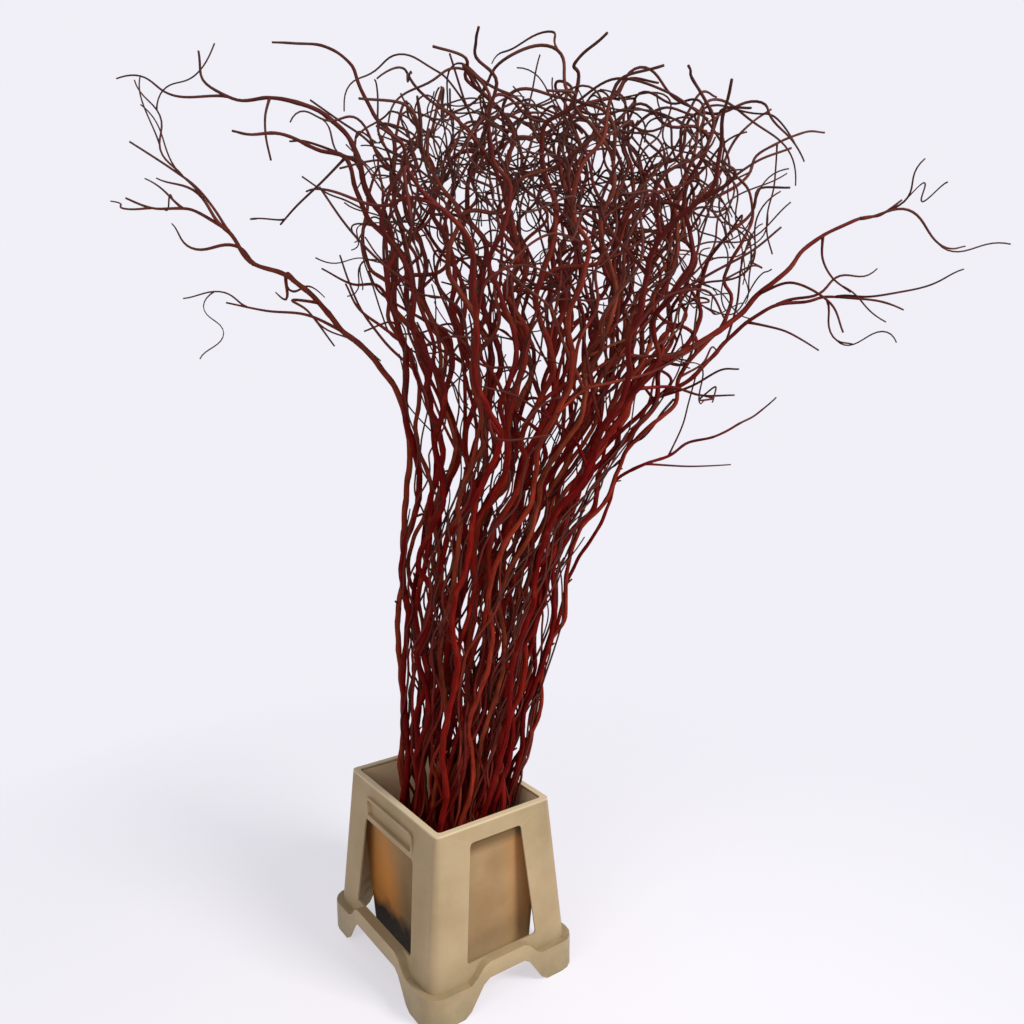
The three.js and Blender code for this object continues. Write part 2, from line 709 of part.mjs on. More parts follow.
// A tapering tube of few sides through a limb's bends. A stem's foot is cut level.
function tube({ points, radii, parent }) {
  const last = points.length - 1;
  const directions = points.map((point, k) => {
    if (k === 0 && !parent) return UP.clone();
    const ahead = points[Math.min(k + 1, last)].clone().sub(point).normalize();
    const behind = point.clone().sub(points[Math.max(k - 1, 0)]).normalize();
    return ahead.add(behind).normalize();
  });
  let side = Math.abs(directions[0].z) > 0.9 ? LEAN.clone() : UP.clone();
  const rings = points.map((point, k) => {
    side = side.projectOnPlane(directions[k]).normalize().clone();
    const other = directions[k].clone().cross(side);
    return Array.from({ length: SIDES }, (_, i) => {
      const angle = (2 * Math.PI * i) / SIDES;
      const reach = radii[k] * OVERSIZE;
      return point
        .clone()
        .addScaledVector(side, reach * Math.cos(angle))
        .addScaledVector(other, reach * Math.sin(angle));
    });
  });
  return solidOf(skin(rings));
}

// ---------------------------------------------------------------- the object

const plastic = new THREE.MeshStandardMaterial({ color: 0xc9b993, roughness: 0.5, metalness: 0 });
const bark = new THREE.MeshStandardMaterial({ color: 0x5a1d13, roughness: 0.55, metalness: 0 });

const bunch = new THREE.Group();

function addNode(name, solid, material) {
  const mesh = new THREE.Mesh(geometryOf(solid), material);
  mesh.name = name;
  bunch.add(mesh);
}

addNode("container_bucket", bucket(), plastic);
addNode("container_skirt", skirt(), plastic);
growBranches().forEach((branch, i) => {
  const name = "willow_branch_" + String(i + 1).padStart(2, "0");
  addNode(name, wasm.Manifold.union(branch.map(tube)), bark);
});

// Pieces are built about the middle of the container's footprint, and moved so that the
// middle of the outer box is over the origin.
const middle = new THREE.Box3().setFromObject(bunch).getCenter(new THREE.Vector3()).round();
for (const mesh of bunch.children) mesh.position.set(-middle.x, -middle.y, 0);

export default bunch;
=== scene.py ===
"""The looks of a bunch of curly willow branches that stands in a flower container.

The branches are grown again by the rule of the part's source, in millimetres about the middle
of the container's footprint, and get a rounder skin. Twigs too fine for the solids are added.
"""

import json
import math

import bpy
import numpy as np
from mathutils import Matrix, Vector, kdtree

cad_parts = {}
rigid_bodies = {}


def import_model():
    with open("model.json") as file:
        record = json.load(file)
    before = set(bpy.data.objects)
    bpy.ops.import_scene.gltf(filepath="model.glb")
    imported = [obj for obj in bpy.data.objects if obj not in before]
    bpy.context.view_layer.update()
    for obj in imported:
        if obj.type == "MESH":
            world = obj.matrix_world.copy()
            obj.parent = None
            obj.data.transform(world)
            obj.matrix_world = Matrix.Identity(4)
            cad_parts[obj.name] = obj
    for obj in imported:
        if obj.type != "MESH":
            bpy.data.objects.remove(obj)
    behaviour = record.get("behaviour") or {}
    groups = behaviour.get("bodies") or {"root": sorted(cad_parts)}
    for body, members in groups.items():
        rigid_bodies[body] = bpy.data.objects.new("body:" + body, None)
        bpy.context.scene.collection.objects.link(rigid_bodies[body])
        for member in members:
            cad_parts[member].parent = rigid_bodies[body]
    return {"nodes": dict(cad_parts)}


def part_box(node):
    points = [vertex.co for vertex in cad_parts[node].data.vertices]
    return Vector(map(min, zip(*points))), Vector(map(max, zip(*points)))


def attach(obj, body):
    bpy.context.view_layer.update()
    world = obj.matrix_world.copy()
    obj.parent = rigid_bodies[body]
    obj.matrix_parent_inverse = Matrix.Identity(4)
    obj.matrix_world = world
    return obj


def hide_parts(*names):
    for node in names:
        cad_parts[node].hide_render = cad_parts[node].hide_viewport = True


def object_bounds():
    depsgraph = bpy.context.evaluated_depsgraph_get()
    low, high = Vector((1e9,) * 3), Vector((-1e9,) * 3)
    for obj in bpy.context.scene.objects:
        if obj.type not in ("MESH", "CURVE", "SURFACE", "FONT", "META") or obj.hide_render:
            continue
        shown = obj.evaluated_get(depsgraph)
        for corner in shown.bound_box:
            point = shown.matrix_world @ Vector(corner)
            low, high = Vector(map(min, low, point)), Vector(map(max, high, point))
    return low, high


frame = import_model()
cad_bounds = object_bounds()

MM = 0.001
container_low, container_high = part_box("container_skirt")
CENTRE = Vector((
    (container_low.x + container_high.x) / 2,
    (container_low.y + container_high.y) / 2,
    0,
))

# ---------------- container, mm

HEIGHT = 357
WALL = 3.5
BUCKET_RIM = (243, 333)
BUCKET_FOOT = (210, 298)
BUCKET_BOTTOM = 8
FLOOR_Z = 30

# ---------------- branches as in the source, mm

STEMS = sum(name.startswith("willow_branch_") for name in frame["nodes"])
BASE_GAP = 0.3
BUTT_RADIUS = 6.8
BUTT_VARIED = (0.74, 1.08)
TIP_RADIUS = 1.2
TAPER = 1.75
OVERSIZE = 1.2

SPACING = (76, 49)
SWAY = (9, 17)
ARM_SWAY = 0.6
TURN = (1.35, 1.9)
BOB_SHARE = 0.5
BOB_RATE = 1.7
VARIED = (0.6, 1.4)
STRAIGHT_FOOT = 0.1
RISING_STEP = 20
LIMB_SPACING = 46
LIMBS_FROM = 980
TRIES = 40

CROWN_TOP = 1785
CROWN_FILLED = 0.93
LOWER_LEAN = 35
LOWER_RIM = 125
LOWER_RANDOM = 150
LIMB_REACH = 1.2
ARM_SLOPE = 0.12
BEND_BELOW = 170
BEND_OVER = (60, 190)
BEND_OUTWARDS = 60
BEND_PEAK = 20
BEND_STEPS = 10
ARM_STEPS = 60
FORK_STEPS = 30

LEANING_FROM = 100
LEANING_TO = 1000
LEANING_SLOPE = 0.13
LEANING_CROWN = 90
LEANING_OPENS = (800, 1250)
SPREAD_FLOOR = 88
SPREAD_RIM = 124
SPREAD_SLOPE = 0.13
SPREAD_CROWN = 165
SPREAD_OPENS = (900, 1500)

CLEAR = 2.2
SLACK = 0.3
SETTLED = 0.35
ROUNDS = 120
DRAG = 0.4
WALL_GAP = 2
WALL_REACH = 40

SEED = 20240611  # to which each stream of draws adds multiples of primes of its own

# The branches that reach out: places by way along the lean, way across it, and height.
ARMS = [
    {
        "path": [(-69, 30, 1079), (-86, 30, 1175), (-178, 35, 1261), (-240, 40, 1344),
                 (-327, 40, 1384), (-374, 35, 1443), (-435, 30, 1478), (-560, 30, 1502)],
        "forks": [[(-374, 35, 1443), (-424, 10, 1514), (-466, 0, 1548), (-545, 10, 1600)]],
    },
    {
        "path": [(-65, -40, 1139), (-71, -40, 1266), (-85, -40, 1391), (-109, -40, 1495),
                 (-159, -40, 1596), (-200, -45, 1645), (-286, -50, 1664), (-337, -45, 1660),
                 (-379, -40, 1683), (-405, -40, 1735)],
        "forks": [[(-305, -50, 1664), (-292, -70, 1611), (-283, -75, 1552)]],
    },
    {
        "path": [(-29, 60, 1135), (-54, 60, 1328), (-70, 60, 1478), (-85, 55, 1605),
                 (-120, 55, 1693), (-155, 60, 1753), (-199, 60, 1785), (-300, 60, 1783)],
        "forks": [],
    },
    {
        "path": [(212, -150, 925), (283, -150, 1068), (354, -150, 1165), (460, -150, 1243),
                 (540, -150, 1295), (618, -150, 1372), (688, -145, 1428), (825, -150, 1480)],
        "forks": [[(688, -145, 1428), (700, -110, 1370), (755, -100, 1330)]],
    },
    {
        "path": [(234, -60, 910), (319, -60, 1061), (413, -60, 1135), (489, -60, 1200),
                 (573, -60, 1273), (677, -55, 1319), (773, -60, 1323), (883, -60, 1303)],
        "forks": [[(573, -60, 1273), (640, -90, 1260), (700, -100, 1225)]],
    },
    {
        "path": [(239, 40, 726), (300, 40, 850), (360, 40, 972), (421, 40, 1008),
                 (503, 45, 1041), (595, 40, 1081), (690, 40, 1132)],
        "forks": [[(421, 40, 1008), (500, 20, 1000), (580, 15, 1003)]],
    },
    {
        "path": [(329, 100, 1131), (409, 100, 1332), (507, 100, 1508), (588, 105, 1548),
                 (668, 100, 1625), (728, 100, 1654), (785, 100, 1667)],
        "forks": [[(668, 100, 1625), (690, 130, 1560), (680, 140, 1490), (700, 150, 1430)]],
    },
    {
        "path": [(290, 0, 1135), (386, 0, 1324), (479, 0, 1472), (553, 0, 1599), (620, 0, 1675)],
        "forks": [],
    },
    {
        "path": [(240, 250, 1100), (260, 340, 1220), (250, 420, 1330), (310, 510, 1430),
                 (330, 640, 1500)],
        "forks": [[(250, 420, 1330), (180, 490, 1420), (170, 560, 1510)]],
    },
    {
        "path": [(80, 235, 1120), (40, 320, 1260), (50, 390, 1390), (-20, 470, 1500),
                 (-60, 590, 1560)],
        "forks": [],
    },
    {
        "path": [(270, -245, 1080), (300, -330, 1210), (290, -410, 1320), (350, -500, 1420),
                 (360, -610, 1530)],
        "forks": [[(290, -410, 1320), (220, -480, 1400), (230, -560, 1450)]],
    },
    {
        "path": [(90, -240, 1090), (50, -320, 1230), (60, -400, 1340), (-20, -480, 1430),
                 (-70, -590, 1480)],
        "forks": [],
    },
]

FORK = {"steps": 5, "length": 58, "open": 0.4, "curl": 0.5, "thick": 0.72, "rise": 0.16}
TWIG = {"steps": 3, "length": 66, "open": 0.75, "curl": 0.85, "thick": 0.6, "rise": 0.04}
LIMBS = ((0.6, FORK), (0.74, TWIG), (0.88, TWIG))
LIMB_SHIFT = 0.12
BARE_BENDS_ARM = 5
BARE_BENDS_CROWN = 2
OPEN_VARIED = (0.7, 1.3)
LENGTH_VARIED = (0.8, 1.2)
CURL_VARIED = (-0.4, 1.6)
ROLL = (-1.4, 1.4)

# ---------------- finer growth, mm

STEM_SIDES = 10
LIMB_SIDES = 7
TWIG_SIDES = 5
TWIGLET_SIDES = 4
RING_GAP = 9  # between the rings of a skin
STEEP = 0.9  # the rise of a heading that counts as upright
STOUT = (0.88, 1.5)  # the skin's radius over the solid's, low down and in the crown
STOUT_FROM = (600, 1600)  # heights between which one turns into the other
WOBBLE = 0.7
WOBBLE_WAVES = (58, 83)
WOBBLE_SETS_IN = 40  # the length over which it does, from the foot
KNOBBLY = 0.035  # how far the skin swells and shrinks, as a share of the radius
KNOB_WAVES = (29, 71)
NODE_GAP = 61
NODE_SWELL = 0.1
NODE_LENGTH = 5
COLLAR = 0.4
COLLAR_LENGTH = 9

TWIG_FROM = (980, 1450)  # heights between which twigs set in
TWIG_RIM = (0.6, 1.1)  # share of the bunch's half width over which they grow fewer
# In the crown, and on what reaches out of it: the gap between twigs, the length of a twig and
# of its waves, and the radians that it turns in half a wave.
CROWN_TWIG = {"gap": (110, 235), "length": (280, 620), "wave": (110, 230), "turn": (0.7, 1.8)}
ARM_TWIG = {"gap": (55, 125), "length": (90, 260), "wave": (110, 210), "turn": (0.9, 1.9)}
TWIG_RADIUS = (2.7, 4.3)
TWIG_THICK = 0.9  # the most that its radius is of that of what it grows from
TWIG_TIP = 1.3
TWIG_TAPER = 1.7  # a power above 1, so that a twig keeps its thickness for long
TWIGLET_PLACES = ((0.2, 0.5), (0.5, 0.85))  # shares of a twig's length
TWIGLET_LENGTH = (110, 240)
TWIGLET_THICK = 0.75  # share of its twig's radius
TWIGLET_CHANCE = 0.35
TWIG_OPEN = (0.25, 0.65)  # radians off what they grow from
TWIG_RISE = 0.0012  # how a twig turns upwards, a mm
TWIG_TWIST = 0.011  # most that the plane of its bends turns, radians a mm
TWIG_TRIES = 12
TWIG_CEILING = 1745  # what an arm's twigs stay below
TWIG_SLOPE = 0.3  # its fall towards the lean
TWIG_SLOPE_ACROSS = 0.65  # its fall to either side of the crown
CROWN_HALF = 200  # where that fall starts
FILL = 1.1  # share of the bunch's half width that twigs stay within
ARC_ROOM = 260  # below the crown's top, twigs start to bend over in this depth
ARC_RADIUS = 90  # of their bend at the top itself
PROUD = 12  # how far twigs may stand out of the box round the solids

# Thin shoots that leave a branch low down and wind round it up to the crown.
SHOOTS = (1, 2)  # on a branch, in turn
SHOOT_ROOT = (50, 330)  # heights at which they leave it
SHOOT_TOP = (820, 1420)
SHOOT_RADIUS = (2.4, 3.5)
SHOOT_THICK = 0.8  # the most that its radius is of its branch's
SHOOT_GAP = 18  # between its points
SHOOT_ROOTED = 3  # points that stay inside its branch
SHOOT_APART = (0.14, 0.3)  # how far it stands off, as a share of the bunch's half width
SHOOT_FILL = 0.94  # share of that half width that it stays within
SHOOT_PARTS = 150  # the height over which it parts from its branch
SHOOT_TURNS = (0.0035, 0.009)  # radians that it winds a mm
SHOOT_WAVE = (120, 210)
SHOOT_SWAY = (3, 9)
SHOOT_ROOM = 1.2  # left between it and other bark
EASE_ROUNDS = 8
EASE_REACH = 12
EASE_SOFT = 0.1  # keeps its push finite where two lines cross

SNAG_FROM = 430
SNAG_TO = 1000
SNAG_GAP = (150, 330)
SNAG_LENGTH = (6, 14)
SNAG_THICK = (0.28, 0.42)  # share of its stem's radius
SNAG_OPEN = (0.6, 1.0)
SNAG_PROFILE = ((0, 1.1), (0.5, 1), (0.85, 1.05), (1, 0.95))  # its radius along its length
SNAG_SIDES = 6

BOX_LOW = (np.array(cad_bounds[0]) - np.array(CENTRE)) / MM - PROUD
BOX_HIGH = (np.array(cad_bounds[1]) - np.array(CENTRE)) / MM + PROUD

# ---------------- helpers

MASK = 0xFFFFFFFF
UP = np.array([0.0, 0.0, 1.0])
NEARLY_UP = UP + 0.01  # so that a heading straight up still has a side to it


def seeded(seed):
    """A repeatable stream of numbers from 0 to 1 (mulberry32)."""
    state = seed & MASK

    def draw():
        nonlocal state
        state = (state + 0x6D2B79F5) & MASK
        t = ((state ^ (state >> 15)) * (state | 1)) & MASK
        t ^= (t + (((t ^ (t >> 7)) * (t | 61)) & MASK)) & MASK
        return ((t ^ (t >> 14)) & MASK) / 4294967296

    return draw


def mix(a, b, share):
    return a + (b - a) * share


def smooth(low, high, value):
    t = np.clip((value - low) / (high - low), 0, 1)
    return t * t * (3 - 2 * t)


def unit(vector):
    return vector / np.linalg.norm(vector)


def turned(vector, axis, angle):
    """A vector turned about a unit axis."""
    cosine, sine = math.cos(angle), math.sin(angle)
    along = axis * np.dot(axis, vector)
    return along + (vector - along) * cosine + np.cross(axis, vector) * sine


def any_side(heading, draw):
    """A direction square to a heading."""
    return turned(unit(np.cross(heading, NEARLY_UP)), heading, 2 * math.pi * draw())


def turned_aside(heading, opening, draw):
    """A heading that leaves another one, to any side."""
    return turned(heading, any_side(heading, draw), mix(*opening, draw()))


def lengths_along(points):
    """How far along a line each of its points lies."""
    spans = np.linalg.norm(np.diff(points, axis=0), axis=1)
    return np.concatenate([[0], np.cumsum(spans)])


LEAN = unit(np.array([0.858, -0.513, 0.0]))
ACROSS = unit(np.array([0.513, 0.858, 0.0]))


def at(along, across, z):
    return along * LEAN + across * ACROSS + z * UP


# ---------------- layout


class Limb:
    """A run of bends with the radius at each, and the limb that it grows from."""

    def __init__(self, points, radii, parent=None):
        self.points = np.array(points, float)
        self.radii = np.array(radii, float)
        self.parent = parent


def lean_at(z):
    leaning = LEANING_SLOPE * (np.minimum(z, LEANING_TO) - LEANING_FROM)
    return np.maximum(leaning, 0) + LEANING_CROWN * smooth(*LEANING_OPENS, z)


def spread_at(z):
    share = np.clip((z - FLOOR_Z) / (HEIGHT - FLOOR_Z), 0, 1)
    above = SPREAD_SLOPE * np.maximum(z - HEIGHT, 0)
    return mix(SPREAD_FLOOR, SPREAD_RIM, share) + above + SPREAD_CROWN * smooth(*SPREAD_OPENS, z)


def place_of(lane, z):
    return at(lean_at(z) + lane[0] * spread_at(z), lane[1] * spread_at(z), z)


def lane_of(along, across, z):
    return (along - lean_at(z)) / spread_at(z), across / spread_at(z)


def lanes_through(points):
    return lane_of(points @ LEAN, points @ ACROSS, points[..., 2])


def dome_over(a, b):
    """The height of the crown's domed top over a lane."""
    return CROWN_TOP - LOWER_LEAN * (a + 1) - LOWER_RIM * (a * a + b * b)


def rising(lane, top):
    points = []
    z = FLOOR_Z + BASE_GAP
    while z < top:
        points.append(place_of(lane, z))
        z += RISING_STEP
    return points


def spline(points, where):
    """Points on a centripetal Catmull-Rom curve; `where` counts its spans from 0."""
    points = np.asarray(points, float)
    last = len(points) - 1
    ends = 2 * points[0] - points[1], 2 * points[-1] - points[-2]
    padded = np.vstack([ends[0], points, ends[1]])
    span = np.minimum(np.floor(where), last - 1).astype(int)
    t = (where - span)[:, None]
    p0, p1, p2, p3 = (padded[span + i] for i in range(4))
    d0, d1, d2 = (
        np.sqrt(np.linalg.norm(b - a, axis=1))[:, None] for a, b in ((p0, p1), (p1, p2), (p2, p3))
    )
    m1 = d1 * ((p1 - p0) / d0 - (p2 - p0) / (d0 + d1) + (p2 - p1) / d1)
    m2 = d1 * ((p2 - p1) / d1 - (p3 - p1) / (d1 + d2) + (p3 - p2) / d2)
    square = -3 * p1 + 3 * p2 - 2 * m1 - m2
    cube = 2 * p1 - 2 * p2 + m1 + m2
    return p1 + m1 * t + square * t**2 + cube * t**3


def along_spline(points, count):
    return spline(points, np.linspace(0, len(points) - 1, count + 1))


def stations(line, first, last):
    """Points at even or slowly changing distances along a line."""
    line = np.asarray(line)
    lengths = lengths_along(line)
    total = lengths[-1]
    marks = [0.0]
    while marks[-1] < total:
        marks.append(marks[-1] + mix(first, last, marks[-1] / total))
    marks = np.array(marks) * (total / marks[-1])
    return np.stack([np.interp(marks, lengths, line[:, axis]) for axis in range(3)], axis=1)


def stem_along(line, draw, sway):
    """A stem along its line, pushed to and fro as a corkscrew turns."""
    points = stations(line, *SPACING)
    last = len(points) - 1
    butt = BUTT_RADIUS * mix(*BUTT_VARIED, draw())
    turn = 2 * math.pi * draw()
    for k in range(last + 1):
        share = k / last
        turn += mix(*TURN, share) * mix(*VARIED, draw())
        settled = smooth(0, STRAIGHT_FOOT, share)
        push = sway * mix(*SWAY, share) * settled * mix(*VARIED, draw())
        points[k] += push * (math.cos(turn) * LEAN + math.sin(turn) * ACROSS)
        if k > 0:
            points[k, 2] += BOB_SHARE * push * math.sin(BOB_RATE * turn)
    radii = [mix(butt, TIP_RADIUS, (k / last) ** TAPER) for k in range(last + 1)]
    return Limb(points, radii)


def crown_stem(index, lane):
    """A stem that stays in the crown: it rises in its lane and bends over near its tip."""
    draw = seeded(SEED + 101 * index)
    a, b = lane
    top = dome_over(a, b) - LOWER_RANDOM * draw()
    line = rising(lane, top - BEND_BELOW)
    turn = 2 * math.pi * draw()
    over = mix(*BEND_OVER, draw())
    along = a * BEND_OUTWARDS + over * math.cos(turn)
    across = b * BEND_OUTWARDS + over * math.sin(turn)
    tip = place_of(lane, top) + at(along, across, 0)
    bend = place_of(lane, top + BEND_PEAK)
    start = line[-1]
    for t in np.linspace(0, 1, BEND_STEPS + 1)[1:]:
        line.append((1 - t) ** 2 * start + 2 * t * (1 - t) * bend + t * t * tip)
    return stem_along(line, draw, 1)


def arm_stem(index, arm):
    """A stem that reaches out: it rises in the lane that brings it to where its path starts."""
    draw = seeded(SEED + 101 * index)
    path = arm["path"]
    line = rising(lane_of(*path[0]), path[0][2] - RISING_STEP / 2)
    curve = along_spline([line[-1], *(at(*place) for place in path)], ARM_STEPS)
    return stem_along([*line, *curve[1:]], draw, ARM_SWAY)


def crown_lanes(count):
    """Lanes for the crown's stems, in a sunflower's spiral."""
    lanes = []
    for i in range(count):
        r = CROWN_FILLED * math.sqrt((i + 0.5) / count)
        angle = i * math.pi * (3 - math.sqrt(5))
        lanes.append((r * math.cos(angle), r * math.sin(angle)))
    return lanes


# ---------------- clearance


def dot(a, b):
    return np.einsum("ij,ij->i", a, b)


def closest(p1, q1, p2, q2):
    """The shares along pairs of straight pieces at which they come closest."""
    d1, d2, r = q1 - p1, q2 - p2, p1 - p2
    a, b, c, e, f = dot(d1, d1), dot(d1, d2), dot(d1, r), dot(d2, d2), dot(d2, r)
    denominator = a * e - b * b
    crossing = denominator > 1e-9
    s = np.where(crossing, (b * f - c * e) / np.where(crossing, denominator, 1), 0)
    s = np.clip(s, 0, 1)
    t = (b * s + f) / e
    s = np.where(t < 0, np.clip(-c / a, 0, 1), np.where(t > 1, np.clip((b - c) / a, 0, 1), s))
    return s, np.clip(t, 0, 1)


def apart_at(p1, q1, p2, q2, s, t):
    return p1 + (q1 - p1) * s[:, None] - p2 - (q2 - p2) * t[:, None]


def piece_radii(limb):
    return OVERSIZE * np.maximum(limb.radii[:-1], limb.radii[1:])


def keep_in_bucket(points, room):
    """Moves points that are low enough to inside the bucket's walls, with room to spare."""
    height = points[:, 2]
    share = (np.minimum(height, HEIGHT) - BUCKET_BOTTOM) / (HEIGHT - BUCKET_BOTTOM)
    walled = height <= HEIGHT + WALL_REACH
    for a in (0, 1):
        half = mix(BUCKET_FOOT[a], BUCKET_RIM[a], share) / 2 - WALL - room
        kept = np.clip(points[:, a], -half, half)
        points[walled, a] = kept[walled]


def relax(stems):
    """Pushes stems apart sideways until they are clear, and keeps them inside the bucket."""
    points = np.concatenate([stem.points for stem in stems])
    radii = np.concatenate([stem.radii for stem in stems])
    owner = np.concatenate([np.full(len(stem.points), i) for i, stem in enumerate(stems)])
    first = np.flatnonzero(owner[:-1] == owner[1:])
    thick = np.concatenate([piece_radii(stem) for stem in stems])
    level = (points[first, 2] + points[first + 1, 2]) / 2
    i, j = np.triu_indices(len(first), 1)
    # Pieces whose heights differ by more than a few spacings never meet.
    maybe = (owner[first[i]] != owner[first[j]]) & (np.abs(level[i] - level[j]) < 3 * SPACING[0])
    i, j = i[maybe], j[maybe]
    has_before = np.concatenate([[False], owner[1:] == owner[:-1]])
    has_after = np.concatenate([owner[1:] == owner[:-1], [False]])
    room = radii * OVERSIZE + WALL_GAP
    for _ in range(ROUNDS):
        p, q = points[first], points[first + 1]
        middle = (p + q) / 2
        reach = np.linalg.norm(q - p, axis=1) / 2 + thick
        near = reach[i] + reach[j] + CLEAR + SLACK
        gap = middle[i] - middle[j]
        close = np.flatnonzero(dot(gap, gap) <= near * near)
        ci, cj = i[close], j[close]
        s, t = closest(p[ci], q[ci], p[cj], q[cj])
        apart = apart_at(p[ci], q[ci], p[cj], q[cj], s, t)
        missing = thick[ci] + thick[cj] + CLEAR + SLACK - np.linalg.norm(apart, axis=1)
        hit = missing > 0
        ci, cj, s, t, apart, missing = ci[hit], cj[hit], s[hit], t[hit], apart[hit], missing[hit]
        apart[:, 2] = 0
        push = apart / np.linalg.norm(apart, axis=1)[:, None] * missing[:, None] / 2
        moves = np.zeros_like(points)
        np.add.at(moves, first[ci], push * (1 - s)[:, None])
        np.add.at(moves, first[ci] + 1, push * s[:, None])
        np.add.at(moves, first[cj], push * (t - 1)[:, None])
        np.add.at(moves, first[cj] + 1, push * -t[:, None])
        points += moves
        points[has_before] += DRAG * moves[np.flatnonzero(has_before) - 1]
        points[has_after] += DRAG * moves[np.flatnonzero(has_after) + 1]
        keep_in_bucket(points, room)
        if missing.max(initial=0) < SETTLED:
            break
    for k, stem in enumerate(stems):
        stem.points = points[owner == k]


class Taken:
    """The straight pieces of every limb grown so far."""

    def __init__(self):
        self.limbs = []
        self.p = np.zeros((0, 3))
        self.q = np.zeros((0, 3))
        self.radius = np.zeros(0)
        self.limb = np.zeros(0, int)

    def add(self, limb):
        self.p = np.vstack([self.p, limb.points[:-1]])
        self.q = np.vstack([self.q, limb.points[1:]])
        self.radius = np.concatenate([self.radius, piece_radii(limb)])
        self.limb = np.concatenate([self.limb, np.full(len(limb.points) - 1, len(self.limbs))])
        self.limbs.append(limb)

    def is_clear(self, limb):
        """True if a limb is clear of every piece, but for its own root inside its parent."""
        middle = (self.p + self.q) / 2
        reach = np.linalg.norm(self.q - self.p, axis=1) / 2 + self.radius
        parent = self.limbs.index(limb.parent)
        for k, radius in enumerate(piece_radii(limb)):
            p, q = limb.points[k], limb.points[k + 1]
            near = reach + np.linalg.norm(q - p) / 2 + radius + CLEAR + SLACK
            gap = middle - (p + q) / 2
            found = dot(gap, gap) <= near * near
            if k == 0:
                found &= self.limb != parent
            found = np.flatnonzero(found)
            if not len(found):
                continue
            p, q = np.tile(p, (len(found), 1)), np.tile(q, (len(found), 1))
            s, t = closest(p, q, self.p[found], self.q[found])
            apart = apart_at(p, q, self.p[found], self.q[found], s, t)
            least = radius + self.radius[found] + CLEAR
            if (np.linalg.norm(apart, axis=1) < least).any():
                return False
        return True


# ---------------- limbs


def limb_along(parent, path):
    """A limb along given places, from the nearest bend of its parent."""
    start = at(*path[0])
    station = int(np.argmin(np.linalg.norm(parent.points - start, axis=1)))
    places = [parent.points[station], *(at(*place) for place in path[1:])]
    points = stations(along_spline(places, FORK_STEPS), LIMB_SPACING, LIMB_SPACING)
    thick = parent.radii[station] * FORK["thick"]
    return Limb(points, np.linspace(thick, TIP_RADIUS, len(points)), parent)


def sprout(parent, station, draw, kind):
    """A limb that grows from a bend of its parent and curls as it goes."""
    root = parent.points[station]
    heading = unit(parent.points[station + 1] - root)
    axis = turned(unit(np.cross(heading, UP)), heading, 2 * math.pi * draw())
    heading = turned(heading, axis, kind["open"] * mix(*OPEN_VARIED, draw()))
    points = [root]
    for _ in range(kind["steps"]):
        length = kind["length"] * mix(*LENGTH_VARIED, draw())
        points.append(points[-1] + heading * length)
        axis = turned(axis, heading, mix(*ROLL, draw()))
        axis = unit(axis - heading * np.dot(axis, heading))
        heading = turned(heading, axis, kind["curl"] * mix(*CURL_VARIED, draw()))
        heading = unit(heading + UP * kind["rise"])
    thick = parent.radii[station] * kind["thick"]
    return Limb(points, np.linspace(thick, TIP_RADIUS, len(points)), parent)


def is_astray(points, is_arm):
    """True if a limb reaches over the crown or well outside it, or over an arm's own ceiling."""
    z = points[:, 2]
    if is_arm:
        return (z > CROWN_TOP - ARM_SLOPE * np.maximum(points @ LEAN, 0)).any()
    a, b = lanes_through(points)
    return (np.hypot(a, b) > LIMB_REACH).any() or (z > dome_over(a, b)).any()


def add_limbs(branch, index, taken):
    """Grows a branch's limbs, each at the first try that is clear of everything."""
    main = branch[0]
    is_arm = index < len(ARMS)
    last = len(main.points) - (BARE_BENDS_ARM if is_arm else BARE_BENDS_CROWN)
    for w, (share, kind) in enumerate(LIMBS):
        if is_arm and kind is FORK:
            continue
        for attempt in range(TRIES):
            draw = seeded(SEED + 7919 * index + 613 * w + 31 * attempt)
            place = share + LIMB_SHIFT * (draw() - 0.5)
            station = min(math.floor(last * place + 0.5), last)
            if main.points[station, 2] < LIMBS_FROM:
                continue
            limb = sprout(main, station, draw, kind)
            if is_astray(limb.points[1:], is_arm) or not taken.is_clear(limb):
                continue
            branch.append(limb)
            taken.add(limb)
            break


def grow_branches():
    """All branches, each a list of limbs with its stem first."""
    lanes = crown_lanes(STEMS - len(ARMS))
    stems = [arm_stem(i, arm) for i, arm in enumerate(ARMS)]
    stems += [crown_stem(len(ARMS) + i, lane) for i, lane in enumerate(lanes)]
    relax(stems)
    branches = [[stem] for stem in stems]
    for branch, arm in zip(branches, ARMS):
        branch += [limb_along(branch[0], path) for path in arm["forks"]]
    taken = Taken()
    for branch in branches:
        for limb in branch:
            taken.add(limb)
    for index, branch in enumerate(branches):
        add_limbs(branch, index, taken)
    return branches


# ---------------- twigs


def line_of(limb, gap):
    """A limb's smooth line, with the radius at each of its points."""
    lengths = lengths_along(limb.points)
    count = max(int(round(lengths[-1] / gap)), 2)
    marks = np.linspace(0, lengths[-1], count + 1)
    where = np.interp(marks, lengths, np.arange(len(lengths)))
    radii = np.interp(where, np.arange(len(limb.radii)), limb.radii)
    return spline(limb.points, where), radii


def stout_line(limb):
    """A limb's smooth line with the thickness of its bark, which tapers less than the solid."""
    points, radii = line_of(limb, RING_GAP)
    return points, radii * mix(*STOUT, smooth(*STOUT_FROM, points[:, 2]))


def room_over(points):
    """The room between points and the crown's domed top."""
    return dome_over(*lanes_through(points)) - points[..., 2]


def is_in_crown(points):
    """True if points keep inside the bunch's outline and under the crown's top."""
    return (np.hypot(*lanes_through(points)) < FILL).all() and (room_over(points) > 0).all()


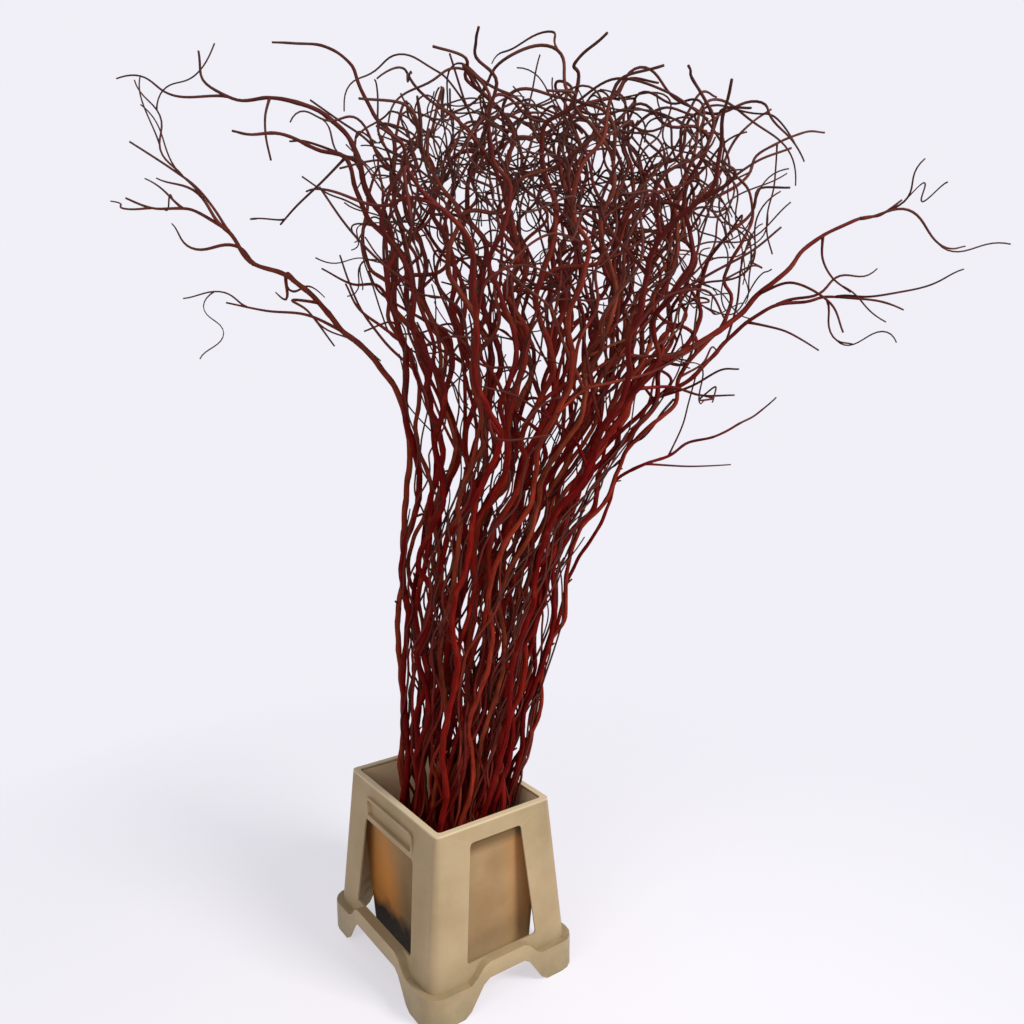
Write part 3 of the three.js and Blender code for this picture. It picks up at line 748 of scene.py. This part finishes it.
def is_in_box(points):
    """True if points keep inside the solids' box and under the ceiling over the arms."""
    beyond = np.maximum(points @ LEAN - lean_at(CROWN_TOP), 0)
    aside = np.maximum(np.abs(points @ ACROSS) - CROWN_HALF, 0)
    ceiling = TWIG_CEILING - TWIG_SLOPE * beyond - TWIG_SLOPE_ACROSS * aside
    is_low = (points[:, 2] < ceiling).all()
    return is_low and (points > BOX_LOW).all() and (points < BOX_HIGH).all()


def curl(root, heading, length, draw, inside):
    """The points of a twig that winds from its root, and in the crown bends over at its top."""
    kind = CROWN_TWIG if inside else ARM_TWIG
    axis = any_side(heading, draw)
    wave = mix(*kind["wave"], draw())
    bend = mix(*kind["turn"], draw()) * math.pi / wave
    phase = 2 * math.pi * draw()
    twist = TWIG_TWIST * (2 * draw() - 1)
    points = [root]
    count = max(int(length / RING_GAP), 3)
    step = length / count
    for k in range(count):
        place = points[-1]
        swing = math.sin(2 * math.pi * k * step / wave + phase)
        heading = turned(heading, axis, step * bend * swing)
        axis = turned(axis, heading, twist * step)
        if inside:
            over = 1 - smooth(0, ARC_ROOM, room_over(place))
            heading = heading + UP * step * (TWIG_RISE * (1 - over) - over / ARC_RADIUS)
        heading = unit(heading)
        axis = unit(axis - heading * np.dot(axis, heading))
        points.append(place + heading * step)
    return np.array(points)


def twig_from(points, k, thick, span, draw, inside):
    """A twig from a place on a line, at the first try that stays in its bounds."""
    for _ in range(TWIG_TRIES):
        forward = unit(points[min(k + 1, len(points) - 1)] - points[max(k - 1, 0)])
        heading = turned_aside(forward, TWIG_OPEN, draw)
        twig = curl(points[k], heading, mix(*span, draw()), draw, inside)
        if is_in_box(twig) and (not inside or is_in_crown(twig[1:])):
            return Limb(twig, mix(thick, TWIG_TIP, np.linspace(0, 1, len(twig)) ** TWIG_TAPER))
    return None


def twig_chance(place, inside):
    """How likely a twig grows from a place: more with height, and less at the crown's rim."""
    chance = smooth(*TWIG_FROM, place[2])
    if inside:
        chance *= 1 - smooth(*TWIG_RIM, math.hypot(*lanes_through(place)))
    return chance


def twiglets_of(twig, draw, inside):
    """The twiglets that grow from a twig."""
    found = []
    for share in [mix(*places, draw()) for places in TWIGLET_PLACES]:
        if draw() > TWIGLET_CHANCE:
            continue
        k = int(share * (len(twig.points) - 1))
        thick = TWIGLET_THICK * twig.radii[k]
        found.append(twig_from(twig.points, k, thick, TWIGLET_LENGTH, draw, inside))
    return [twiglet for twiglet in found if twiglet is not None]


def add_twigs(branch, index):
    """The fine twigs and twiglets of a branch, as two lists of limbs."""
    draw = seeded(SEED + 4057 * index)
    twigs, twiglets = [], []
    for limb in branch:
        points, radii = stout_line(limb)
        mark = mix(*CROWN_TWIG["gap"], draw())
        while mark < (len(points) - 2) * RING_GAP:
            k = int(mark / RING_GAP)
            inside = is_in_crown(points[k:k + 1])
            kind = CROWN_TWIG if inside else ARM_TWIG
            mark += mix(*kind["gap"], draw())
            if draw() >= twig_chance(points[k], inside):
                continue
            thick = min(mix(*TWIG_RADIUS, draw()), TWIG_THICK * radii[k])
            twig = twig_from(points, k, thick, kind["length"], draw, inside)
            if twig is not None:
                twigs.append(twig)
                twiglets += twiglets_of(twig, draw, inside)
    return twigs, twiglets


class Bark:
    """Where bark is, so that shoots are bent clear of it."""

    def __init__(self, branches):
        self.places, self.radii = [], []
        for branch in branches:
            for limb in branch:
                self.note(*stout_line(limb))

    def note(self, points, radii):
        self.places += points.tolist()
        self.radii += radii.tolist()

    def bend_clear(self, points, radii):
        """Moves a shoot's points sideways, but for those at its root, until they are clear."""
        tree = kdtree.KDTree(len(self.places))
        for index, place in enumerate(self.places):
            tree.insert(place, index)
        tree.balance()
        for _ in range(EASE_ROUNDS):
            moves = np.zeros_like(points)
            for k in range(SHOOT_ROOTED, len(points)):
                for place, index, apart in tree.find_range(points[k], radii[k] + EASE_REACH):
                    missing = radii[k] + self.radii[index] + SHOOT_ROOM - apart
                    if missing > 0:
                        away = (points[k] - place) * (1, 1, 0)
                        moves[k] += away / (np.linalg.norm(away) + EASE_SOFT) * missing / 2
            moves[1:-1] = (moves[:-2] + 2 * moves[1:-1] + moves[2:]) / 4
            points[SHOOT_ROOTED:] += moves[SHOOT_ROOTED:]
            keep_in_bucket(points, radii + WALL_GAP)


def drawn_in(points, most):
    """Points moved towards the middle of the bunch, to within a share of its half width."""
    a, b = lanes_through(points)
    kept = np.minimum(1, most / np.maximum(np.hypot(a, b), 1e-6))
    return np.array([place_of(lane, z) for *lane, z in zip(a * kept, b * kept, points[:, 2])])


def shoot_from(stem, draw, wood):
    """A thin shoot that parts from a stem low down and winds round it up to the crown."""
    line, girth = line_of(stem, SHOOT_GAP)
    root = int(np.searchsorted(line[:, 2], mix(*SHOOT_ROOT, draw())))
    top = int(np.searchsorted(line[:, 2], mix(*SHOOT_TOP, draw())))
    points = line[root:top].copy()
    rise = (np.arange(len(points)) * SHOOT_GAP)[:, None]
    turn = 2 * math.pi * draw() + rise * mix(*SHOOT_TURNS, draw())
    apart = mix(*SHOOT_APART, draw()) * spread_at(points[:, 2:]) * smooth(0, SHOOT_PARTS, rise)
    points += apart * (np.cos(turn) * LEAN + np.sin(turn) * ACROSS)
    for way in (LEAN, ACROSS):
        wave, phase = mix(*SHOOT_WAVE, draw()), 2 * math.pi * draw()
        sway = mix(*SHOOT_SWAY, draw()) * smooth(0, SHOOT_PARTS, rise)
        points += sway * np.sin(2 * math.pi * rise / wave + phase) * way
    points[SHOOT_ROOTED:] = drawn_in(points[SHOOT_ROOTED:], SHOOT_FILL)
    thick = min(mix(*SHOOT_RADIUS, draw()), SHOOT_THICK * girth[root])
    radii = np.linspace(thick, TWIG_TIP, len(points))
    wood.bend_clear(points, radii)
    shoot = Limb(points, radii)
    wood.note(*line_of(shoot, RING_GAP))
    return shoot


def snags(branch, index):
    """Cut stubs of side shoots on the lower stem."""
    draw = seeded(SEED + 977 * index)
    points, radii = stout_line(branch[0])
    stubs = []
    z = SNAG_FROM + SNAG_GAP[0] * draw()
    while z < SNAG_TO:
        k = int(np.searchsorted(points[:, 2], z))
        z += mix(*SNAG_GAP, draw())
        if k >= len(points) - 2:
            break
        heading = turned_aside(unit(points[k + 1] - points[k - 1]), SNAG_OPEN, draw)
        length = radii[k] + mix(*SNAG_LENGTH, draw())
        thick = mix(*SNAG_THICK, draw()) * radii[k]
        stub = [points[k] + heading * length * share for share, _ in SNAG_PROFILE]
        stubs.append(Limb(stub, [thick * swell for _, swell in SNAG_PROFILE]))
    return stubs


# ---------------- skins


def sideways(points, level_foot):
    """Two directions square to a line and to each other at each of its points, with no twist."""
    ahead = np.diff(points, axis=0)
    ahead /= np.linalg.norm(ahead, axis=1)[:, None]
    headings = np.vstack([ahead[:1], ahead[1:] + ahead[:-1], ahead[-1:]])
    headings /= np.linalg.norm(headings, axis=1)[:, None]
    if level_foot:
        headings[0] = UP
    side = LEAN if abs(headings[0][2]) > STEEP else UP
    sides = np.empty_like(headings)
    for k, heading in enumerate(headings):
        side = side - heading * np.dot(side, heading)
        side = side / math.sqrt(np.dot(side, side))
        sides[k] = side
    return sides, np.cross(headings, sides)


class Skin:
    """Gathers tubes into one mesh."""

    def __init__(self):
        self.points, self.faces, self.girth, self.grain, self.tone = [], [], [], [], []
        self.count = 0

    def tube(self, points, radii, sides, tone, level_foot=False):
        """A closed tube round a line of points, with a flat cap at each end."""
        number = len(points)
        one, other = sideways(points, level_foot)
        angle = 2 * math.pi * np.arange(sides) / sides
        cosine, sine = np.cos(angle)[None], np.sin(angle)[None]
        wheel = cosine[:, :, None] * one[:, None] + sine[:, :, None] * other[:, None]
        rings = points[:, None] + wheel * radii[:, None, None]
        radius = radii[:, None]
        grain = np.stack(
            np.broadcast_arrays(cosine * radius, sine * radius, lengths_along(points)[:, None]),
            axis=2,
        )
        ring = self.count + (np.arange(number - 1) * sides)[:, None]
        low = ring + np.arange(sides)[None]
        turn = ring + (np.arange(sides)[None] + 1) % sides
        quads = np.stack([low, turn, turn + sides, low + sides], axis=2).reshape(-1, 4)
        self.faces += quads.tolist()
        self.faces.append(list(range(self.count + sides - 1, self.count - 1, -1)))
        top = self.count + (number - 1) * sides
        self.faces.append(list(range(top, top + sides)))
        self.points.append(rings.reshape(-1, 3))
        self.girth.append(np.repeat(radii, sides))
        self.grain.append(grain.reshape(-1, 3))
        self.tone.append(np.full(number * sides, tone))
        self.count += number * sides

    def mesh(self, name):
        mesh = bpy.data.meshes.new(name)
        points = np.concatenate(self.points) * MM + np.array(CENTRE)
        mesh.from_pydata(points.tolist(), [], self.faces)
        for label, kind, key, parts in (
            ("girth", "FLOAT", "value", self.girth),
            ("tone", "FLOAT", "value", self.tone),
            ("grain", "FLOAT_VECTOR", "vector", self.grain),
        ):
            values = np.concatenate(parts).astype(np.float32)
            mesh.attributes.new(label, kind, "POINT").data.foreach_set(key, values.ravel())
        mesh.shade_smooth()
        return mesh


def rough_line(points, radii, draw):
    """A limb's line with the wobble and the knobs of real growth."""
    lengths = lengths_along(points)
    fade = smooth(0, WOBBLE_SETS_IN, lengths)
    moved = points.copy()
    for wave, way in zip(WOBBLE_WAVES, (LEAN, ACROSS)):
        shift = np.sin(2 * math.pi * (lengths / wave + draw())) * WOBBLE * fade
        moved += shift[:, None] * way
    knobs = np.zeros(len(points))
    for wave in KNOB_WAVES:
        knobs += KNOBBLY * np.sin(2 * math.pi * (lengths / wave + draw()))
    to_node = np.abs((lengths + NODE_GAP * draw()) % NODE_GAP - NODE_GAP / 2)
    knobs += NODE_SWELL * np.exp(-((to_node / NODE_LENGTH) ** 2))
    return moved, radii * (1 + knobs)


def collared(points, radii):
    """Radii that swell towards a limb's root."""
    return radii * (1 + COLLAR * np.exp(-lengths_along(points) / COLLAR_LENGTH))


def add_object(name, data):
    thing = bpy.data.objects.new(name, data)
    bpy.context.scene.collection.objects.link(thing)
    return thing


def dress_branch(branch, index, wood, material):
    """One branch's skin: its stem and limbs, and its shoots, twigs and stubs."""
    name = "willow_branch_%02d" % (index + 1)
    skin = Skin()
    draw = seeded(SEED + 53 * index)
    tone = draw()
    for limb in branch:
        points, radii = stout_line(limb)
        if limb.parent is None:
            points, radii = rough_line(points, radii, draw)
            skin.tube(points, radii, STEM_SIDES, tone, level_foot=True)
        else:
            skin.tube(points, collared(points, radii), LIMB_SIDES, tone)
    for _ in range(SHOOTS[index % len(SHOOTS)]):
        points, radii = line_of(shoot_from(branch[0], draw, wood), RING_GAP)
        skin.tube(points, collared(points, radii), LIMB_SIDES, draw())
    for stub in snags(branch, index):
        skin.tube(stub.points, stub.radii, SNAG_SIDES, tone)
    twigs, twiglets = add_twigs(branch, index)
    for limbs, sides in ((twigs, TWIG_SIDES), (twiglets, TWIGLET_SIDES)):
        for limb in limbs:
            skin.tube(limb.points, collared(limb.points, limb.radii), sides, tone)
    piece = add_object(name + "_grown", skin.mesh(name + "_grown"))
    piece.data.materials.append(material)
    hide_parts(name)
    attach(piece, "root")


# ---------------- materials


class Nodes:
    """The node tree of a material or world, with short calls to add nodes and feed sockets."""

    def __init__(self, owner, shader="Principled BSDF"):
        owner.use_nodes = True
        self.tree = owner.node_tree
        self.shader = self.tree.nodes[shader]

    def feed(self, source, target):
        """Joins a socket to another one, or sets it to a value; a colour gets its alpha."""
        if isinstance(source, bpy.types.NodeSocket):
            self.tree.links.new(source, target)
        elif target.type == "RGBA":
            target.default_value = (*source, 1)
        else:
            target.default_value = source

    def add(self, kind, **settings):
        """A node with its settings and sockets given by name."""
        node = self.tree.nodes.new(kind)
        for key, value in settings.items():
            if key in node.inputs:
                self.feed(value, node.inputs[key])
            else:
                setattr(node, key, value)
        return node

    def combine(self, kind, operation, one, two):
        """The outputs of a node that works on two sources."""
        node = self.add(kind, operation=operation)
        self.feed(one, node.inputs[0])
        self.feed(two, node.inputs[1])
        return node.outputs

    def product(self, one, two):
        return self.combine("ShaderNodeMath", "MULTIPLY", one, two)["Value"]

    def sum(self, one, two):
        return self.combine("ShaderNodeMath", "ADD", one, two)["Value"]

    def place(self):
        """Where on the object a point lies, m."""
        return self.add("ShaderNodeTexCoord").outputs["Object"]

    def split(self, vector):
        node = self.add("ShaderNodeSeparateXYZ", Vector=vector)
        return [node.outputs[axis] for axis in "XYZ"]

    def attribute(self, name, output="Fac"):
        return self.add("ShaderNodeAttribute", attribute_name=name).outputs[output]

    def noise(self, vector, scale, detail, roughness=0.55):
        settings = {"Vector": vector, "Scale": scale, "Detail": detail, "Roughness": roughness}
        return self.add("ShaderNodeTexNoise", **settings).outputs["Fac"]

    def ramp(self, value, *stops):
        node = self.add("ShaderNodeValToRGB", Fac=value)
        elements = node.color_ramp.elements
        while len(elements) < len(stops):
            elements.new(0.5)
        for element, (position, colour) in zip(elements, stops):
            element.position = position
            element.color = (*colour, 1)
        return node.outputs["Color"]

    def range(self, value, low, high, to_low=0.0, to_high=1.0):
        """A value mapped from one range to another, and kept within it."""
        ends = {"From Min": low, "From Max": high, "To Min": to_low, "To Max": to_high}
        return self.add("ShaderNodeMapRange", clamp=True, Value=value, **ends).outputs["Result"]

    def blend(self, share, one, two):
        """A colour that turns from one into two as the share rises."""
        node = self.add("ShaderNodeMix", data_type="RGBA")
        for socket, source in zip(COLOUR_MIX_INPUTS, (share, one, two)):
            self.feed(source, node.inputs[socket])
        return node.outputs[COLOUR_MIX_OUTPUT]

    def bump(self, height, strength, distance, **normal):
        settings = {"Height": height, "Strength": strength, "Distance": distance, **normal}
        return self.add("ShaderNodeBump", **settings).outputs["Normal"]

    def surface(self, **sources):
        """Feeds the shader's sockets; a name's _ stands for a space."""
        for name, source in sources.items():
            self.feed(source, self.shader.inputs[name.replace("_", " ")])


COLOUR_MIX_INPUTS = (0, 6, 7)  # the sockets of a Mix node that count for colours
COLOUR_MIX_OUTPUT = 2

BARK_TONES = (
    (0.0, (0.105, 0.003, 0.003)),
    (0.5, (0.165, 0.007, 0.0045)),
    (0.8, (0.21, 0.023, 0.011)),
    (1.0, (0.17, 0.036, 0.016)),
)
BARK_RUST = (0.23, 0.04, 0.013)
TWIG_COLOUR = (0.075, 0.036, 0.03)
SKIRT_PLASTIC = ((0.39, 0.287, 0.162), (0.465, 0.35, 0.207))
BUCKET_PLASTIC = ((0.32, 0.2, 0.095), (0.41, 0.275, 0.145))
# painted highlight along the skirt's top edge, where the light from above catches it
RIM_HIGHLIGHT = (0.85, 0.7, 0.47)
# painted light on the bucket's inner faces, for the light that shines through its plastic
INSIDE_PAINTED_LIGHT = (0.9, 0.7, 0.46)
# painted amber glow of light that shines through the plastic
AMBER_GLOW = (0.55, 0.225, 0.055)
# painted shade: under the skirt's band, and on one side of the bucket
SHADE_BROWN = (0.2, 0.125, 0.055)
# painted deep shade, near black, low on one side of the bucket
DEEP_SHADE = (0.006, 0.004, 0.002)
DIRT = (0.235, 0.2, 0.115)
SKIRT_SHINE = 0.12  # how much plastic mirrors; the old bucket is dull
BUCKET_SHINE = 0.02

# Between which heights, or other places, one look turns into another, m.
BARK_GREYS = (1.05, 1.6)
# heights over which the painted rim highlight sets in
RIM_HIGHLIGHT_HEIGHTS = (0.352, 0.3565)
DIRT_ENDS = (0.12, 0.0)
BAND_SHADOW_FROM = (0.286, 0.304)  # painted shadow under the skirt's band
BAND_SHADOW_TO = (0.345, 0.34)
# heights over which the painted amber glow grows
GLOW_RISES = (0.1, 0.26)
GLOW_ACROSS = (-0.11, -0.06)  # where the painted amber glow sets in, by x
FACES_OUT = (-0.01, 0.01)  # by how far a face looks away from the middle
# heights over which the painted side shade grows stronger downwards
SIDE_SHADE_FALLS = (0.3, 0.15)
SIDE_SHADE_ACROSS = (-0.2, -0.225)  # painted shade on one side of the bucket, by x
SIDE_GLOW_WARMS = (0.07, 0.14)  # where that painted shade turns into painted amber glow, by y
# the painted deep shade's uneven top edge
DEEP_SHADE_LINE = (0.095, 0.065)
DEEP_SHADE_UNEVEN = (-0.02, 0.02)

TWIG_THIN = (3.2, 1.1)  # radii between which bark turns into that of a twig, mm
STREAK_STRETCH = (1, 1, 0.07)  # along a stem, streaks are long
STREAKS_SPAN = (0.3, 0.7)  # what most of the streaks' noise lies between
SCUFFS_SPAN = (0.35, 0.65)


def bark_material():
    """Smooth red-brown bark with streaks along it, greyer with height and on thin twigs."""
    material = bpy.data.materials.new("willow_bark")
    nodes = Nodes(material)
    grain = nodes.attribute("grain", "Vector")
    long = nodes.add("ShaderNodeMapping", Vector=grain, Scale=STREAK_STRETCH).outputs["Vector"]
    streaks = nodes.noise(long, scale=0.55, detail=6)
    patches = nodes.noise(grain, scale=0.02, detail=3)
    rust = nodes.range(patches, 0.55, 0.75, to_high=0.6)
    bark = nodes.blend(rust, nodes.ramp(nodes.attribute("tone"), *BARK_TONES), BARK_RUST)
    light = nodes.range(streaks, *STREAKS_SPAN, to_low=0.45, to_high=1.6)
    streaked = nodes.add("ShaderNodeHueSaturation", Color=bark, Value=light).outputs["Color"]
    height = nodes.split(nodes.place())[2]
    aged = nodes.blend(nodes.range(height, *BARK_GREYS, to_high=0.6), streaked, TWIG_COLOUR)
    thin = nodes.range(nodes.attribute("girth"), *TWIG_THIN)
    pores = nodes.noise(long, scale=1.6, detail=4)
    grooves = nodes.bump(streaks, strength=0.35, distance=0.0006)
    nodes.surface(
        Base_Color=nodes.blend(thin, aged, TWIG_COLOUR),
        Roughness=nodes.range(streaks, *STREAKS_SPAN, to_low=0.5, to_high=0.68),
        Specular_IOR_Level=0.03,
        Normal=nodes.bump(pores, strength=0.2, distance=0.0003, Normal=grooves),
    )
    return material


def rim_highlight(nodes, place, base):
    """The skirt is paler along its top edge: a painted highlight where the light from above
    catches it.
    """
    height = nodes.split(place)[2]
    return nodes.blend(nodes.range(height, *RIM_HIGHLIGHT_HEIGHTS, to_high=0.75), base, RIM_HIGHLIGHT)


def facing_out(nodes, place):
    """1 on faces that look away from the container's middle, and 0 on the others."""
    from_middle = nodes.combine("ShaderNodeVectorMath", "SUBTRACT", place, CENTRE)["Vector"]
    normal = nodes.add("ShaderNodeNewGeometry").outputs["Normal"]
    outwards = nodes.combine("ShaderNodeVectorMath", "DOT_PRODUCT", from_middle, normal)["Value"]
    return nodes.range(outwards, *FACES_OUT)


def side_shade_and_glow(nodes, place, base):
    """Painted shade over the base on one side, turning into painted amber glow towards +y, with
    painted deep shade low down.
    """
    x, y, z = nodes.split(place)
    cloud = nodes.noise(place, scale=16, detail=4)
    level = nodes.sum(z, nodes.range(cloud, 0.2, 0.8, *DEEP_SHADE_UNEVEN))
    # painted shade turning into painted amber glow; painted deep shade below its line
    old = nodes.blend(nodes.range(y, *SIDE_GLOW_WARMS), SHADE_BROWN, AMBER_GLOW)
    painted_side = nodes.blend(nodes.range(level, *DEEP_SHADE_LINE), old, DEEP_SHADE)
    fading = nodes.range(level, *SIDE_SHADE_FALLS, to_low=0.35, to_high=0.95)
    return nodes.blend(nodes.product(nodes.range(x, *SIDE_SHADE_ACROSS), fading), base, painted_side)


def bucket_light_and_shade(nodes, place, base):
    """The bucket gets painted light inside, and outside a painted amber glow to the right,
    painted shadow under the band, and painted shade and glow on one side.
    """
    x, _, z = nodes.split(place)
    # painted amber glow, stronger to the right and higher up
    to_right = nodes.range(x, *GLOW_ACROSS, to_high=0.65)
    rising_up = nodes.range(z, *GLOW_RISES, to_low=0.3)
    glowing = nodes.blend(nodes.product(to_right, rising_up), base, AMBER_GLOW)
    # painted shadow under the skirt's band
    under_band = nodes.product(nodes.range(z, *BAND_SHADOW_FROM), nodes.range(z, *BAND_SHADOW_TO))
    band_shaded = nodes.blend(under_band, glowing, SHADE_BROWN)
    # inner faces get painted light, outer faces the painted glow and shade below
    return nodes.blend(facing_out(nodes, place), INSIDE_PAINTED_LIGHT, side_shade_and_glow(nodes, place, band_shaded))


def plastic_material(name, colours, light_painter, shine):
    """Cream moulded plastic, a little mottled, with scuffs and with dirt low down."""
    material = bpy.data.materials.new(name)
    nodes = Nodes(material)
    place = nodes.place()
    cloud = nodes.noise(place, scale=9, detail=5)
    base = nodes.ramp(cloud, (0.35, colours[0]), (0.65, colours[1]))
    low = nodes.range(nodes.split(place)[2], *DIRT_ENDS, to_high=0.85)
    specks = nodes.noise(place, scale=45, detail=6, roughness=0.7)
    dirty = nodes.product(low, nodes.range(specks, 0.3, 0.65, to_low=0.5))
    scuffs = nodes.noise(place, scale=160, detail=3)
    nodes.surface(
        # painted highlight, glow and shade go over the plastic's colour here
        Base_Color=light_painter(nodes, place, nodes.blend(dirty, base, DIRT)),
        Roughness=nodes.range(scuffs, *SCUFFS_SPAN, to_low=0.36, to_high=0.52),
        Specular_IOR_Level=shine,
        Subsurface_Weight=0.12,
        Subsurface_Scale=0.01,
        Normal=nodes.bump(scuffs, strength=0.08, distance=0.0004),
    )
    return material


def floor_material():
    """A pale glowing floor that shows soft shadows and fades into the backdrop."""
    material = bpy.data.materials.new("studio_floor")
    nodes = Nodes(material)
    far = nodes.add("ShaderNodeVectorMath", operation="LENGTH", Vector=nodes.place())
    nodes.surface(
        Base_Color=FLOOR_COLOUR,
        Roughness=0.9,
        Specular_IOR_Level=0,
        Alpha=nodes.range(far.outputs["Value"], *FLOOR_FADE, to_low=1, to_high=0),
        Emission_Color=BACKDROP,
        Emission_Strength=FLOOR_GLOW,
    )
    return material


# ---------------- container

# They join each flat's triangles, round the edges, and let the flats lead the shading.
MOULDING_MODIFIERS = (
    ("WELD", {"merge_threshold": 1e-5}),
    ("DECIMATE", {"decimate_type": "DISSOLVE", "angle_limit": math.radians(1)}),
    ("BEVEL", {"width": 0.0016, "segments": 3, "angle_limit": math.radians(28)}),
    ("WEIGHTED_NORMAL", {"weight": 100}),
)


def dress_moulding(name, material):
    """A moulding keeps its solid, with its edges rounded."""
    node = frame["nodes"][name]
    node.data.materials.clear()
    node.data.materials.append(material)
    for kind, settings in MOULDING_MODIFIERS:
        modifier = node.modifiers.new(kind.lower(), kind)
        for key, value in settings.items():
            setattr(modifier, key, value)
    node.data.shade_smooth()


# ---------------- studio

CAMERA_PLACE = (-860.9, -1440.9, 1185.4)  # about the middle of the container's footprint, mm
CAMERA_FORWARD = (0.57395, 0.80365, -0.15722)
CAMERA_ROLL = -0.33  # degrees
FOCAL_PIXELS = 867.2
PICTURE_PIXELS = 1024
SENSOR = 36
BACKDROP = (0.88, 0.865, 0.93)
SKY_LIGHT = 0.38  # share of the backdrop's brightness that lights the object
FLOOR_COLOUR = (0.42, 0.415, 0.44)
FLOOR_FADE = (0.5, 1.6)  # m from the container to where the floor fades and has gone
FLOOR_GLOW = 0.62
FLOOR_MARGIN = 0.5  # m of it past where it has gone
LIGHT_AIM = (0, 0, 0.8)
LIGHTS = (  # name, place in m, power in W, size in m and colour
    ("key", (1.2, -3.2, 3.0), 160, 1.4, (1, 0.97, 0.93)),
    ("fill", (-3.2, -1.4, 2.4), 38, 2.0, (1, 0.95, 0.88)),
)


def add_camera():
    data = bpy.data.cameras.new("camera")
    data.sensor_width = SENSOR
    data.lens = FOCAL_PIXELS / PICTURE_PIXELS * SENSOR
    forward = Vector(CAMERA_FORWARD).normalized()
    right = forward.cross(Vector((0, 0, 1))).normalized()
    above = right.cross(forward)
    facing = Matrix((right, above, -forward)).transposed().to_4x4()
    roll = Matrix.Rotation(math.radians(CAMERA_ROLL), 4, "Z")
    camera = add_object("camera", data)
    camera.matrix_world = Matrix.Translation(CENTRE + Vector(CAMERA_PLACE) * MM) @ facing @ roll
    bpy.context.scene.camera = camera


def add_light(name, place, power, size, colour):
    """A soft square light that faces the bunch."""
    data = bpy.data.lights.new(name, "AREA")
    data.energy = power
    data.size = size
    data.color = colour
    light = add_object(name, data)
    light.location = place
    aim = Vector(LIGHT_AIM) - light.location
    light.rotation_euler = aim.to_track_quat("-Z", "Y").to_euler()


def add_backdrop():
    """A world that is seen brighter than it lights, as a white studio is."""
    world = bpy.data.worlds.new("studio")
    nodes = Nodes(world, "Background")
    seen = nodes.add("ShaderNodeLightPath").outputs["Is Camera Ray"]
    nodes.surface(Color=BACKDROP, Strength=nodes.range(seen, 0, 1, to_low=SKY_LIGHT))
    bpy.context.scene.world = world


def add_floor():
    half = FLOOR_FADE[1] + FLOOR_MARGIN
    corners = [(-half, -half, 0), (half, -half, 0), (half, half, 0), (-half, half, 0)]
    mesh = bpy.data.meshes.new("floor")
    mesh.from_pydata(corners, [], [(0, 1, 2, 3)])
    mesh.materials.append(floor_material())
    floor = add_object("floor", mesh)
    floor.location = CENTRE


def add_studio():
    bpy.context.scene.view_settings.view_transform = "Standard"
    add_backdrop()
    add_floor()
    for light in LIGHTS:
        add_light(*light)


# ---------------- the object

add_camera()
add_studio()
bark = bark_material()
branches = grow_branches()
wood = Bark(branches)
for number, branch in enumerate(branches):
    dress_branch(branch, number, wood, bark)
# the bucket gets painted light, glow and shade
bucket_plastic = plastic_material("bucket_plastic", BUCKET_PLASTIC, bucket_light_and_shade, BUCKET_SHINE)
dress_moulding("container_bucket", bucket_plastic)
# the skirt gets a painted highlight along its top edge
skirt_plastic = plastic_material("skirt_plastic", SKIRT_PLASTIC, rim_highlight, SKIRT_SHINE)
dress_moulding("container_skirt", skirt_plastic)
